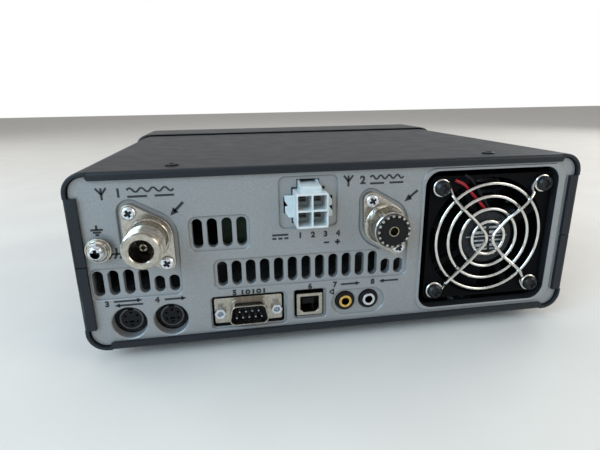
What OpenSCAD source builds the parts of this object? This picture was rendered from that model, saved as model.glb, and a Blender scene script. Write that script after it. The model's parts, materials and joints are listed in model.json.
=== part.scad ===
// Amateur radio transceiver made of separate sub-parts in one frame, in millimetres.
// The controls face -Y and the sockets face +Y. The feet stand on z = 0.

/* [Case] */
// Width of the two sheet covers
body_w = 224; // [218:1:250]
// Height of the two sheet covers
body_h = 77.5; // [76:0.5:92]
// Depth of the covers, from the rear lips to the front edge
body_d = 170; // [160:1:220]
// Outer corner radius of the covers
body_r = 8.5; // [6:0.5:11]
// Thickness of the cover sheet
sheet_t = 1.6; // [1.2:0.1:2]
// How far the cover lips reach over the rear panel
lip_h = 3.5; // [2.5:0.25:3.5]
// Height of the rubber feet
foot_h = 6; // [5:0.5:12]
// Diameter of the rubber feet
foot_d = 16; // [12:1:20]

/* [Rear panel] */
// Thickness of the cast rear panel
panel_t = 5; // [4:0.5:6]
// Depth of the shallow pockets in the rear panel
pocket_d = 1.2; // [0.8:0.1:1.6]
// Width of one vent slot
slot_w = 4.2; // [3:0.1:4.6]
// Distance from one vent slot to the next
slot_pitch = 6.15; // [5.6:0.05:6.2]
// Height of the raised surround of the fan
surround_t = 0.7; // [0.4:0.1:1.2]

/* [Fan] */
// Space between the fan frame and the outside of the covers, above and below
fan_margin = 8.75; // [8.25:0.25:12]
// Depth of the fan frame
fan_d = 20; // [15:1:25]
// Diameter of the guard wire
guard_wire = 1.6; // [1.2:0.1:1.8]
// Number of fan blades
blades = 7; // [5:1:9]
// Length of the fins behind the fan
fin_len = 92; // [60:1:100]

/* [Antenna sockets] */
// How far the threaded socket stands out of the case
socket_out = 16.5; // [14:0.5:18]
// How far the notched socket stands out of the case
notched_out = 11.5; // [10:0.5:14]
// Thread diameter of both antenna sockets
thread_d = 15.88; // [15:0.01:16]
// Distance between the two screws of a flange
flange_pitch = 25.4; // [25:0.1:27]
// Number of notches in the rim of the second socket
notches = 17; // [12:1:20]

/* [Front] */
// How far the front moulding stands out beyond the covers at each side
front_side = 3.5; // [2.5:0.25:6]
// How far the front moulding stands out above and below the covers
front_top = 1.25; // [1.2:0.05:3]
// Depth of the front moulding
front_d = 48; // [46:1:60]
// Width of the display lens
lens_w = 86; // [70:1:88]
// Height of the display lens
lens_h = 50; // [40:1:51]
// Diameter of the tuning dial over its grip
dial_d = 50; // [40:1:51]
// How far the tuning dial stands out of the front face
dial_out = 30.5; // [20:0.5:32]
// Diameter of the gain ring
ring_d = 22; // [18:0.5:24]
// Diameter of the selector knob
selector_d = 18; // [14:0.5:19]
// Diameter of the squelch knob
squelch_d = 15; // [12:0.5:17]
// Travel of the keys
key_travel = 0.5; // [0.3:0.1:0.6]
// Width of one key
key_w = 14; // [10:0.5:15]
// Height of one key
key_h = 6.5; // [5:0.5:7]

/* [Hidden] */
$fn = 48;
gap = 0.3;
overlap = 8;
zc = foot_h + body_h / 2;
face_dist = body_d - overlap + front_d;
y_lip = (face_dist + dial_out - socket_out) / 2;
y_face = y_lip - face_dist;
inner_w = body_w - 2 * sheet_t;
inner_h = body_h - 2 * sheet_t;
front_w = body_w + 2 * front_side;
front_h = body_h + 2 * front_top;
lip_side = lip_h + 1.3;
corner_keep = body_r + 1.5;

// Depths along the outward direction of the rear, with 0 at the outer face of the lips
face_w = -sheet_t;
floor_w = face_w - pocket_d;
back_w = face_w - panel_t;

// Heights above and below the middle of the case
board_v = -inner_h / 2 + 4.55;
board_t = 1.6;
deck_v = board_v + 14.6;
deck_t = 3;

// Places on the rear panel, to the right and up from its middle as seen from behind
// The places in the middle move in proportion to the width
function along(u) = u * body_w / 224;
left_u = -body_w / 2;
right_u = body_w / 2;
socket_u = left_u + 30.35;
socket_v = 10.9;
notched_u = along(18.65);
notched_v = 10.75;
ground_u = left_u + 10.8;
ground_v = 7.4;
round_u = [left_u + 18.1, left_u + 35.5];
round_v = board_v + 5.4;
round_d = 14.4;
round_boss_d = 10.9;
round_boss_h = 1.2;
power_u = along(-15.2);
power_v = inner_h / 2 - 16.55;
power_out = 8;
serial_u = along(-42.8);
serial_v = board_v + 6.5;
data_u = along(-15.25);
data_v = board_v + 7.2;
jack_u = [along(7.25) - 5.6, along(7.25) + 5.6];
jack_v = board_v + 6.75;
fan_size = body_h - 2 * fan_margin;
window_u = right_u - 42.4;
fan_u = window_u + 1;
fan_v = 0.2;
fan_w = -4;
window = fan_size + 5;
fan_pitch = fan_size - 10;
duct_r = fan_size / 2 - 1.5;
hub_r = 13.5;
flange_t = pocket_d + sheet_t;
flange_turn = 120;
thread_len = 8.6;
nose_len = 1.6;
nose_d = 14.6;
notch_w = 1.3;
notch_h = 1;

vent_a_u = along(-62.4);
vent_b_u = left_u + 7.65;
vent_c_u = along(-53.25);
vent_c_count = min(14, 1 + floor((window_u - window / 2 - 8 - vent_c_u) / slot_pitch));

cover_screw_u = 71;
base_screw_u = 64;
cover_screw_w = -10.5;
side_screw_w = [-40, -body_d + 40];
side_screw_v = 14;
foot_u = body_w / 2 - 21;
foot_w = [-24, -body_d + 22];
grille_w = -body_d + 40;

// Places on the front, with the depth counted outward from the face
plate_t = 3;
control_board_d = -12;
column_half = 9;
left_x = -body_w / 2 + 14;
knob_x = body_w / 2 - 18;
front_free = knob_x - ring_d / 2 - left_x - column_half - lens_w - dial_d;
lens_x = left_x + column_half + front_free * 8 / 36 + lens_w / 2;
lens_z = 7;
dial_x = lens_x + lens_w / 2 + front_free * 13 / 36 + dial_d / 2;
dial_z = -8;
ring_z = 22;
squelch_z = -3;
selector_z = -25.5;
power_z = 25;
phones_z = 5;
mic_z = -22;
screen_key_x = [for (i = [0:3]) lens_x - 0.25 + (i - 1.5) * 20.5];
screen_key_z = -27;
band_key_x = [for (i = [-1:1]) dial_x + i * 21];
band_key_z = 27;
boss_z = body_h / 2 - 4.75;
boss_at = [for (x = [lens_x + lens_w / 2 + 4, knob_x - 17], z = [-boss_z, boss_z]) [x, z],
    [lens_x - lens_w / 2 - 5, boss_z], [lens_x - lens_w / 2 - 3, -boss_z]];
shaft_r = 3;
inner_shaft_r = 2;
run = 0.05;

// Local x runs right as seen from behind, local y up and local z out of the rear
module rear(u, v, w = 0) {
    translate([-u, y_lip + w, zc + v]) rotate([90, 0, 180]) children();
}

// Local x runs right as seen from the front, local y up and local z out of the front face
module front(x, z, d = 0) {
    translate([x, y_face - d, zc + z]) rotate([90, 0, 0]) children();
}

module rounded(w, h, r) {
    square([w - 2 * r, h], center = true);
    square([w, h - 2 * r], center = true);
    for (x = [-1, 1], y = [-1, 1]) translate([x * (w / 2 - r), y * (h / 2 - r)]) circle(r);
}

module block(w, h, r, t) {
    linear_extrude(t) rounded(w, h, r);
}

module upright_slot(w, low, high) {
    translate([-w / 2, low + w / 2]) square([w, high - low - w]);
    for (y = [low + w / 2, high - w / 2]) translate([0, y]) circle(w / 2);
}

module two_ear(pitch, r_end, r_mid) {
    half = pitch / 2;
    bite = 0.04;
    a = acos((r_mid - r_end) / half);
    ex = half + (r_end - bite) * cos(a);
    ey = (r_end - bite) * sin(a);
    mx = (r_mid - bite) * cos(a);
    my = (r_mid - bite) * sin(a);
    circle(r_mid);
    for (s = [-1, 1]) translate([s * half, 0]) circle(r_end);
    polygon([[ex, ey], [mx, my], [-mx, my], [-ex, ey], [-ex, -ey], [-mx, -my], [mx, -my], [ex, -ey]]);
}

module tube(r_out, r_in, h) {
    difference() {
        cylinder(r = r_out, h = h);
        translate([0, 0, -1]) cylinder(r = r_in, h = h + 2);
    }
}

// Seat at z = 0, head above it, shank below it
module screw(head_d, head_h, shank_d, shank_l) {
    difference() {
        union() {
            cylinder(d = head_d, h = head_h * 0.6);
            translate([0, 0, head_h * 0.6]) cylinder(d1 = head_d, d2 = head_d * 0.68, h = head_h * 0.4);
        }
        for (a = [0, 90]) rotate(a) translate([-head_d * 0.28, -head_d * 0.1, head_h * 0.5])
            cube([head_d * 0.56, head_d * 0.2, head_h]);
    }
    translate([0, 0, -shank_l]) cylinder(d = shank_d, h = shank_l);
}

// Outline of the serial shell, wide side down
function corner(x, y, r, a0, a1) = [for (i = [0:6]) let(a = a0 + (a1 - a0) * i / 6) [x + r * cos(a), y + r * sin(a)]];
module d_outline(grow) {
    r = 2 + grow;
    polygon(concat(corner(5.2, 2.1, r, 10, 90), corner(-5.2, 2.1, r, 90, 170),
        corner(-6, -2.1, r, 170, 270), corner(6, -2.1, r, 270, 370)));
}

module cover_half(side) {
    shift = body_h / 2;
    difference() {
        union() {
            intersection() {
                rear(0, 0, -body_d) linear_extrude(body_d) difference() {
                    rounded(body_w, body_h, body_r);
                    rounded(inner_w, inner_h, body_r - sheet_t);
                }
                rear(0, side * (shift + 0.2), -body_d / 2) cube([body_w + 2, body_h, body_d + 2], center = true);
            }
            rear(0, side * (shift - lip_h), -sheet_t) linear_extrude(sheet_t) lip_outline(side);
            for (s = [-1, 1]) rear(s * (right_u - lip_side / 2), side * (shift - corner_keep) / 2, -sheet_t)
                linear_extrude(sheet_t) square([lip_side, shift - corner_keep - 0.4], center = true);
        }
        rear(0, side * shift, 0) fold_cut(body_w - 2 * corner_keep, side);
        for (s = [-1, 1]) rear(s * right_u, side * (shift - corner_keep) / 2, 0) rotate(90)
            fold_cut(shift - corner_keep - 0.4, -s);
    }
}

module lip_outline(side) {
    w = body_w - 2 * corner_keep + 1.6;
    translate([0, side * (lip_h / 2 + 0.75)]) square([w, lip_h - 1.5], center = true);
    translate([0, side * 0.75]) square([w - 3, 1.5], center = true);
    for (s = [-1, 1]) translate([s * (w / 2 - 1.5), side * 1.5]) circle(1.5);
}

// Rounds the outer edge where the sheet is folded into a lip
module fold_cut(length, side) {
    r = sheet_t - 0.1;
    difference() {
        translate([-length / 2, side > 0 ? -r : -1, -r]) cube([length, r + 1, r + 1]);
        translate([-length / 2 - 1, -side * r, -r]) rotate([0, 90, 0]) cylinder(r = r, h = length + 2);
    }
}

module top_cover() color("#26292d") difference() {
    cover_half(1);
    for (s = [-1, 1]) rear(s * cover_screw_u, body_h / 2, cover_screw_w) rotate([-90, 0, 0])
        cylinder(d = 3.4, h = 10, center = true);
    for (s = [-1, 1], w = side_screw_w) rear(s * right_u, side_screw_v, w) rotate([0, 90, 0])
        cylinder(d = 3.4, h = 10, center = true);
}

module bottom_cover() color("#26292d") difference() {
    union() {
        cover_half(-1);
        for (s = [-1, 1], w = foot_w) translate([s * foot_u, y_lip + w, foot_h + sheet_t - 0.01]) cylinder(d = 8, h = 2);
    }
    for (s = [-1, 1]) rear(s * base_screw_u, -body_h / 2, cover_screw_w) rotate([-90, 0, 0])
        cylinder(d = 3.4, h = 10, center = true);
    for (s = [-1, 1], w = foot_w) translate([s * foot_u, y_lip + w, foot_h - 1]) cylinder(d = 3.1, h = 8);
    for (i = [-4:4]) translate([i * 5 - 1.25, y_lip + grille_w - 17, foot_h - 1]) cube([2.5, 34, sheet_t + 2]);
}

module feet() color("#1b1b1c") for (s = [-1, 1], w = foot_w) translate([s * foot_u, y_lip + w, 0]) difference() {
    union() {
        translate([0, 0, 1]) cylinder(d = foot_d, h = foot_h - 1);
        cylinder(d1 = foot_d - 2, d2 = foot_d, h = 1);
    }
    translate([0, 0, -1]) cylinder(d = 7, h = foot_h - 1);
    cylinder(d = 3.4, h = foot_h + 1);
}

module foot_screws() color("#8d8f92") for (s = [-1, 1], w = foot_w) translate([s * foot_u, y_lip + w, foot_h - 2])
    mirror([0, 0, 1]) screw(6, 2, 3, sheet_t + 3.4);

module cover_screws() color("#1c1d1f") {
    for (s = [-1, 1]) rear(s * cover_screw_u, body_h / 2, cover_screw_w) rotate([-90, 0, 0]) screw(5.6, 0.9, 2.9, 5);
    for (s = [-1, 1]) rear(s * base_screw_u, -body_h / 2, cover_screw_w) rotate([90, 0, 0]) screw(5.6, 0.9, 2.9, 5);
    for (s = [-1, 1], w = side_screw_w) rear(s * right_u, side_screw_v, w) rotate([0, s * 90, 0])
        screw(5.6, 0.9, 2.9, 5.5);
}

module vent_row(u, count, low, high) {
    for (i = [0:count - 1]) translate([u + i * slot_pitch, 0]) upright_slot(slot_w, low, high);
}

module pocket_of(u0, u1, v0, v1, r) {
    translate([(u0 + u1) / 2, (v0 + v1) / 2]) rounded(u1 - u0, v1 - v0, r);
}

module shallow_pockets() {
    vent_b_right = vent_b_u + 5 * slot_pitch + 3;
    vent_c_right = vent_c_u + (vent_c_count - 1) * slot_pitch + 3.4;
    translate([socket_u, socket_v]) rotate(flange_turn) two_ear(flange_pitch, 4.9, 11.3);
    pocket_of(vent_b_u - 2.6, vent_b_right, -15.4, -1.9, 2.5);
    pocket_of(vent_b_right - 9, vent_b_right, -15.4, socket_v - 1, 2.5);
    translate([notched_u, notched_v]) rotate(flange_turn) two_ear(flange_pitch, 4.8, 11.1);
    pocket_of(vent_c_u - 3.4, vent_c_right, -14.9, -1.5, 2.6);
    pocket_of(vent_c_right - 8, vent_c_right, -14.9, notched_v - 1, 2.6);
    pocket_of(vent_a_u - 3.2, vent_a_u + 3 * slot_pitch + 3.2, 3.2, 18.1, 3);
    pocket_of(power_u - 12.5, power_u + 12.5, power_v - 9.5, power_v + 12.7, 2.5);
    pocket_of(jack_u[0] - 6.3, jack_u[1] + 7.2, jack_v - 6.6, jack_v + 5.6, 6);
    pocket_of(serial_u - 16.3, serial_u + 16.9, serial_v - 7.9, serial_v + 7.5, 1.6);
    pocket_of(data_u - 7, data_u + 7.6, data_v - 7.2, data_v + 6.9, 1.2);
}

module rear_panel() color("#8b8d90") difference() {
    union() {
        rear(0, 0, back_w) block(inner_w - 2 * gap, inner_h - 2 * gap, body_r - sheet_t - 0.4, panel_t);
        rear(window_u + 1, fan_v, face_w - 0.1) block(window + 4.6, window + 3, 6, surround_t + 0.1);
        for (s = [-1, 1]) {
            rear(s * cover_screw_u, inner_h / 2 - gap - 2.5, back_w - 8) block(11, 5, 1, 8.1);
            rear(s * base_screw_u, -inner_h / 2 + gap + 2, back_w - 8) block(9.4, 4, 1, 8.1);
        }
    }
    rear(0, 0, floor_w) linear_extrude(pocket_d + 1) shallow_pockets();
    rear(0, 0, back_w - 1) linear_extrude(panel_t + 4) {
        vent_row(vent_a_u, 4, 4.3, 17.1);
        vent_row(vent_b_u, 4, -14.2, -3);
        vent_row(vent_b_u + 4 * slot_pitch, 2, -14.2, -6.85);
        vent_row(vent_c_u, vent_c_count - 2, -13.9, -2.5);
        vent_row(vent_c_u + (vent_c_count - 2) * slot_pitch, 2, -13.9, -6.7);
        translate([window_u, fan_v]) rounded(window, window + 0.8, 7);
        for (u = round_u) translate([u, round_v]) circle(d = round_d);
        for (u = jack_u) translate([u, jack_v]) circle(4.6);
        translate([serial_u, serial_v]) rounded(32, 14.4, 1.4);
        translate([data_u, data_v]) rounded(13.5, 13.2, 0.9);
        translate([power_u, power_v + 0.2]) square([14.2, 15.6], center = true);
        translate([power_u, power_v + 9]) square([9.6, 4.7], center = true);
        translate([power_u, power_v + 0.45]) square([21, 6.7], center = true);
        translate([socket_u, socket_v]) circle(6.8);
        translate([notched_u, notched_v]) circle(6.8);
        translate([ground_u, ground_v]) circle(2);
        translate([socket_u, socket_v]) rotate(flange_turn) for (s = [-1, 1]) translate([s * flange_pitch / 2, 0]) circle(1.4);
        translate([notched_u, notched_v]) rotate(flange_turn) for (s = [-1, 1]) translate([s * flange_pitch / 2, 0]) circle(1.4);
    }
    for (u = round_u) rear(u, round_v, face_w - 0.5) cylinder(d1 = round_d, d2 = round_d + 1.2, h = 0.6);
    for (s = [-1, 1]) {
        rear(s * cover_screw_u, inner_h / 2, cover_screw_w) rotate([-90, 0, 0]) cylinder(d = 3, h = 10, center = true);
        rear(s * base_screw_u, -inner_h / 2, cover_screw_w) rotate([-90, 0, 0]) cylinder(d = 3, h = 10, center = true);
    }
}

module chassis() color("#a7aaad") {
    wall_in = inner_w / 2 - 3;
    depth = body_d - 9 + back_w;
    sink_l = fan_u - fan_size / 2 - 6;
    bulkhead_v = inner_h / 2 - 9.15;
    difference() {
        union() {
            rear(0, deck_v + deck_t / 2, back_w - depth) linear_extrude(depth) square([2 * wall_in + 1, deck_t], center = true);
            for (s = [-1, 1]) rear(s * (wall_in + 1.25), 0, back_w - depth) linear_extrude(depth) square([2.5, inner_h - 18.3], center = true);
            rear(0, (bulkhead_v + deck_v) / 2, back_w - depth) linear_extrude(3)
                square([2 * wall_in + 1, bulkhead_v - deck_v], center = true);
            for (s = [-1, 1], w = side_screw_w) rear(s * (wall_in - 1.4), side_screw_v, w) rotate([0, 90, 0])
                cylinder(d = 8, h = 3, center = true);
            for (u = [left_u + 14, -66, 20], w = [-30, -body_d / 2 - 10]) rear(u, board_v, w) rotate([-90, 0, 0])
                cylinder(d = 6, h = deck_v - board_v + 0.5);
            for (u = [-56, 18], w = [-34, -body_d / 2 - 25]) rear(u, deck_v + deck_t - 0.5, w) rotate([-90, 0, 0])
                cylinder(d = 6, h = 6.5);
        }
        rear((sink_l + wall_in) / 2 + 1, deck_v + deck_t / 2, back_w - 120) linear_extrude(121)
            square([wall_in - sink_l - 2, deck_t + 4], center = true);
        for (s = [-1, 1], w = side_screw_w) rear(s * wall_in, side_screw_v, w) rotate([0, 90, 0])
            cylinder(d = 3, h = 20, center = true);
        for (x = [-60, 0, 60]) rear(x, 6, back_w - depth - 1) linear_extrude(5) rounded(24, 10, 4);
    }
}

module main_board() color("#2d6b42") difference() {
    union() {
        rear((left_u + 36) / 2 + 2, board_v - board_t / 2, -body_d / 2 - 16) linear_extrude(body_d / 2 + 16 + back_w - 0.4)
            square([36 - left_u - 8, board_t], center = true);
        for (i = [0:3]) rear(-70 + i * 26, board_v + 1, -52) rotate([-90, 0, 0]) translate([0, 0, -1.01]) block(14, 14, 1, 2.2);
        for (i = [0:2]) rear(-80 + i * 30, board_v + 4, -78) rotate([-90, 0, 0]) translate([0, 0, -4.01]) cylinder(d = 9, h = 10);
    }
    rear(-base_screw_u, board_v, back_w - 4) cube([12, 10, 12], center = true);
}

module amplifier_board() color("#2d6b42") {
    base = deck_v + deck_t + 6;
    edge = fan_u - fan_size / 2 - 4.6;
    rear((edge - 64) / 2, base + board_t / 2, -body_d / 2 - 32) linear_extrude(body_d / 2 + 6)
        square([edge + 64, board_t], center = true);
    for (w = [-45, -70]) rear(edge - 1.5, base + board_t + 5, w) cube([5.2, 10.02, 14], center = true);
    for (w = [-42, -64, -86]) rear(-4, base + board_t + 7, w) rotate([0, 90, 0]) tube(6, 3.5, 9);
    for (w = [-42, -64, -86]) rear(-4.5, base + board_t + 0.5, w) translate([0.5, 0, -3]) cube([8, 1.02, 6]);
    rear(-40, base + board_t + 8, -62) cube([26, 16.02, 44], center = true);
}

module heat_sink() color("#b3b6b8") difference() {
    half = fan_size / 2;
    edge = fan_u - half;
    union() {
        rear(edge - 1, fan_v, fan_w - fan_d - fin_len) linear_extrude(fin_len) square([5, fan_size], center = true);
        for (i = [-5:5]) rear(edge + half - 1, fan_v + i * (fan_size - 2) / 10, fan_w - fan_d - fin_len) linear_extrude(fin_len)
            square([fan_size, 1.8], center = true);
        rear(edge - 5.5, deck_v + deck_t + 1.5, fan_w - fan_d - fin_len) linear_extrude(fin_len) square([6, 3], center = true);
        for (x = [-1, 1], y = [-1, 1]) rear(fan_u + x * fan_pitch / 2, fan_v + y * fan_pitch / 2, fan_w - fan_d - 12)
            cylinder(d = 8, h = 12);
    }
    for (x = [-1, 1], y = [-1, 1]) rear(fan_u + x * fan_pitch / 2, fan_v + y * fan_pitch / 2, fan_w - fan_d - 10)
        cylinder(d = 3.1, h = 12);
}

module fan_frame() color("#1d1e20") rear(fan_u, fan_v, fan_w - fan_d) {
    difference() {
        block(fan_size, fan_size, 3.5, fan_d);
        translate([0, 0, -1]) cylinder(r = duct_r, h = fan_d + 2);
        for (x = [-1, 1], y = [-1, 1]) translate([x * fan_pitch / 2, y * fan_pitch / 2, -1]) cylinder(d = 3.6, h = fan_d + 2);
        for (x = [-1, 1], y = [-1, 1]) translate([x * fan_size / 2, y * fan_size / 2, 4]) rotate(45) translate([-2.2, -2.2, 0])
            cube([4.4, 4.4, fan_d - 8]);
    }
    difference() {
        union() {
            translate([0, 0, fan_d - 3]) cylinder(r = hub_r, h = 3);
            for (a = [28, 118, 208, 298]) rotate(a) translate([hub_r - 1, -1.6, fan_d - 3]) cube([duct_r - hub_r + 1.6, 3.2, 2]);
            translate([0, 0, fan_d - 11]) cylinder(r = 3.5, h = 9);
        }
        translate([0, 0, fan_d - 12]) cylinder(r = 1.5 + run, h = 11);
    }
}

module fan_rotor() color("#232427") rear(fan_u, fan_v, fan_w - fan_d) {
    blade_r = duct_r - 0.9;
    difference() {
        translate([0, 0, 1.5]) cylinder(r = hub_r - 0.2, h = fan_d - 6);
        translate([0, 0, 3]) cylinder(r = hub_r - 1.8, h = fan_d);
    }
    translate([0, 0, 2.5]) cylinder(r = 1.5, h = fan_d - 5);
    intersection() {
        translate([0, 0, 2]) tube(blade_r, hub_r - 1, fan_d - 7);
        for (i = [0:blades - 1]) rotate(i * 360 / blades) translate([0, 0, fan_d / 2 - 1.5]) rotate([38, 0, 0])
            translate([hub_r - 2, -9, -0.7]) cube([blade_r, 18, 1.4]);
    }
}

// Straight length of eight-sided guard wire, a little longer than the two points it joins
module guard_rod(from, to) {
    dx = to[0] - from[0];
    dy = to[1] - from[1];
    dz = to[2] - from[2];
    flat = sqrt(dx * dx + dy * dy);
    extra = guard_wire * 0.3;
    translate(from) rotate([0, 90 - atan2(dz, flat), atan2(dy, dx)]) translate([0, 0, -extra]) rotate(22.5)
        cylinder(d = guard_wire, h = sqrt(flat * flat + dz * dz) + 2 * extra, $fn = 8);
}

module guard_ring(r) {
    rotate_extrude() translate([r, 0]) rotate(22.5) circle(d = guard_wire, $fn = 8);
}

module fan_guard() color("#d4d6d8") rear(fan_u, fan_v, fan_w) {
    low = guard_wire / 2;
    high = guard_wire * 1.75;
    far = fan_pitch / 2;
    knee = [far - 5.6, far - 4.8, high];
    turn = [far - 4.7, far - 1.7, low + 0.15];
    tip = [far - 3.25, far + 1.4, low];
    for (k = [1:4]) translate([0, 0, high - guard_wire * 0.94]) guard_ring(fan_size * (0.034 + 0.1 * k));
    for (s = [-1, 1]) {
        guard_rod([s * 1.6, -2.2, high], [s * 1.6, 2.2, high]);
        for (t = [-1, 1]) {
            guard_rod([s * 1.6, t * 2.2, high], [s * knee[0], t * knee[1], knee[2]]);
            guard_rod([s * knee[0], t * knee[1], knee[2]], [s * turn[0], t * turn[1], turn[2]]);
            guard_rod([s * turn[0], t * turn[1], turn[2]], [s * tip[0], t * tip[1], tip[2]]);
            translate([s * far, t * far, low]) guard_ring(3.5);
        }
    }
}

module fan_screws() color("#1a1b1d") for (x = [-1, 1], y = [-1, 1])
    rear(fan_u + x * fan_pitch / 2, fan_v + y * fan_pitch / 2, fan_w + guard_wire) screw(7, 2.4, 2.9, fan_d + guard_wire + 9);

module fan_leads() for (k = [0, 1]) color(["#b3201c", "#17181a"][k]) rear(fan_u, fan_v, fan_w - 0.25)
    rotate(100 - 8 * k) translate([hub_r + 1, 0, 0]) rotate([0, 90, 34]) cylinder(r = 0.7, h = duct_r - hub_r - 0.2);

module threaded_socket() color("#b7ab92") rear(socket_u, socket_v, floor_w) difference() {
    top = flange_t + socket_out;
    union() {
        linear_extrude(flange_t) rotate(flange_turn) two_ear(flange_pitch, 3.5, 9.8);
        cylinder(d = thread_d + 1.2, h = flange_t + 1.8);
        cylinder(d = thread_d - 2, h = top - 1);
        translate([0, 0, top - nose_len - thread_len]) cylinder(d = thread_d, h = thread_len);
        translate([0, 0, top - nose_len - 0.5]) cylinder(d = nose_d, h = nose_len);
        translate([0, 0, top - 0.5]) cylinder(d1 = nose_d, d2 = nose_d - 0.8, h = 0.5);
        translate([0, 0, -9]) cylinder(r = 6.4, h = 9.5);
    }
    translate([0, 0, top - 10.5]) cylinder(d = 8.9, h = 12);
    translate([0, 0, -12]) cylinder(d = 8, h = top + 12);
    rotate(flange_turn) for (s = [-1, 1]) translate([s * flange_pitch / 2, 0, -1]) cylinder(d = 3, h = flange_t + 2);
}

module threaded_insulator() color("#d8d4c8") rear(socket_u, socket_v, floor_w) difference() {
    translate([0, 0, -9]) cylinder(d = 8, h = flange_t + socket_out - 2.5);
    translate([0, 0, -10]) cylinder(d = 3, h = flange_t + socket_out + 2);
}

module notched_socket() color("#b7ab92") rear(notched_u, notched_v, floor_w) difference() {
    top = flange_t + notched_out;
    rim_d = thread_d - 1.8;
    union() {
        linear_extrude(flange_t) rotate(flange_turn) two_ear(flange_pitch, 3.6, 9.5);
        translate([0, 0, flange_t - 0.01]) cylinder(d1 = thread_d + 2, d2 = thread_d, h = 1.2);
        cylinder(d = thread_d, h = top - 2);
        translate([0, 0, top - 2]) cylinder(d1 = thread_d, d2 = rim_d, h = 0.7);
        cylinder(d = rim_d, h = top);
        translate([0, 0, -9]) cylinder(r = 6.4, h = 9.5);
    }
    translate([0, 0, -12]) cylinder(d = 12.2, h = top + 20);
    for (i = [0:notches - 1]) rotate(i * 360 / notches) translate([5.8, -notch_w / 2, top - notch_h]) cube([3, notch_w, 2]);
    rotate(flange_turn) for (s = [-1, 1]) translate([s * flange_pitch / 2, 0, -1]) cylinder(d = 3, h = flange_t + 2);
}

module notched_insulator() color("#1b1b1c") rear(notched_u, notched_v, floor_w) difference() {
    translate([0, 0, -9]) cylinder(d = 12.2, h = 9 + flange_t + notched_out - 0.6);
    translate([0, 0, -10]) cylinder(d = 4.4, h = 40);
}

module antenna_contacts() color("#c9b98c") {
    rear(socket_u, socket_v, floor_w) difference() {
        translate([0, 0, -14]) cylinder(d = 3, h = 14 + flange_t + socket_out - 5);
        translate([0, 0, flange_t + socket_out - 9]) cylinder(d = 1.7, h = 10);
        for (a = [0, 90]) rotate(a) translate([-2, -0.15, flange_t + socket_out - 8]) cube([4, 0.3, 8]);
    }
    rear(notched_u, notched_v, floor_w) difference() {
        translate([0, 0, -14]) cylinder(d = 4.4, h = 14 + flange_t + notched_out - 0.3);
        translate([0, 0, flange_t + notched_out - 10.4]) cylinder(d = 3.5, h = 12);
    }
}

module socket_screws() color("#c4c8cc") {
    for (s = [-1, 1]) rear(socket_u, socket_v, 0) rotate(flange_turn) translate([s * flange_pitch / 2, 0, 0]) screw(5.6, 1.7, 2.7, 6);
    for (s = [-1, 1]) rear(notched_u, notched_v, 0) rotate(flange_turn) translate([s * flange_pitch / 2, 0, 0]) screw(5.6, 1.7, 2.7, 6);
}

module ground_collar() color("#c2b48f") rear(ground_u, ground_v, face_w) difference() {
    union() {
        cylinder(d = 9, h = 2);
        translate([0, 0, 2]) cylinder(d = 10.2, h = 1);
        translate([0, 0, 3]) cylinder(d = 9, h = 0.9);
        translate([0, 0, 3.9]) cylinder(d1 = 8.6, d2 = 7.4, h = 0.9);
    }
    translate([0, 0, -1]) cylinder(d = 4, h = 8);
}

module ground_screw() color("#cfd1d3") rear(ground_u, ground_v, face_w + 4.8) screw(6.2, 2.4, 3.9, 9.6);

// Side wing of the power header, with a notch in its outer edge
wing = [[-6, 4.9], [-10.25, 4.9], [-10.25, 2.6], [-8.8, 0.3], [-10.1, 0.1], [-10.1, -2.3], [-8.6, -4.7], [-6, -4.7]];

module power_header() color("#eceae4") rear(power_u, power_v, floor_w) {
    reach = power_out - floor_w;
    difference() {
        union() {
            translate([0, 0, -12]) block(13.2, 14.5, 0.6, reach + 12);
            translate([-4.4, 0, 0]) rotate([90, 0, 90]) linear_extrude(8.8)
                polygon([[6.5, -12], [10, -12], [10, 2], [9.4, reach - 3.4], [6.5, reach - 3.4]]);
            for (s = [-1, 1]) translate([s * 3.95 - 0.45, 0, 0]) rotate([90, 0, 90]) linear_extrude(0.9)
                polygon([[9.5, -12], [11.1, -12], [11.1, 0], [9.5, 3]]);
            for (a = [0, 180]) rotate(a) {
                linear_extrude(1.8) polygon(wing);
                translate([-7.7, 0, -2.4]) linear_extrude(2.6) square([1, 5.4], center = true);
            }
        }
        for (x = [-1, 1], y = [-1, 1]) translate([x * 3.15, y * 3.4, reach - 9]) block(5.6, 6, 0.4, 10);
    }
}

module power_contacts() color("#3f3a33") rear(power_u, power_v, floor_w) for (x = [-1, 1], y = [-1, 1])
    translate([x * 3.15, y * 3.4, power_out - floor_w - 9]) difference() {
        block(3, 1.7, 0.2, 2.6);
        translate([0, 0, 0.8]) block(2, 0.7, 0.1, 3);
    }

module serial_shell() color("#b5ad9b") rear(serial_u, serial_v, face_w - 1.8) difference() {
    foot = board_v - serial_v;
    union() {
        translate([0, 0, -1]) block(30.3, 12.2, 1, 1);
        linear_extrude(6.4) d_outline(0.45);
        translate([-9.5, foot, -9]) cube([19, 5 - foot, 8.5]);
    }
    translate([0, 0, -10]) linear_extrude(17) d_outline(0);
    for (s = [-1, 1]) translate([s * 12.5, 0, -2]) cylinder(d = 3, h = 4);
}

module serial_insert() color("#17181a") rear(serial_u, serial_v, face_w - 12) difference() {
    linear_extrude(9.4) d_outline(0);
    for (p = pin_places()) translate([p[0], p[1], -1]) cylinder(d = 1, h = 12);
}

function pin_places() = concat([for (i = [0:3]) [(i - 1.5) * 2.75, 1.42]], [for (i = [0:4]) [(i - 2) * 2.75, -1.42]]);

module serial_pins() color("#d8d3c4") rear(serial_u, serial_v, face_w - 12) for (p = pin_places())
    translate([p[0], p[1], 0]) union() {
        cylinder(d = 1, h = 15.2);
        translate([0, 0, 15.2]) cylinder(d1 = 1, d2 = 0.5, h = 0.6);
    }

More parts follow.
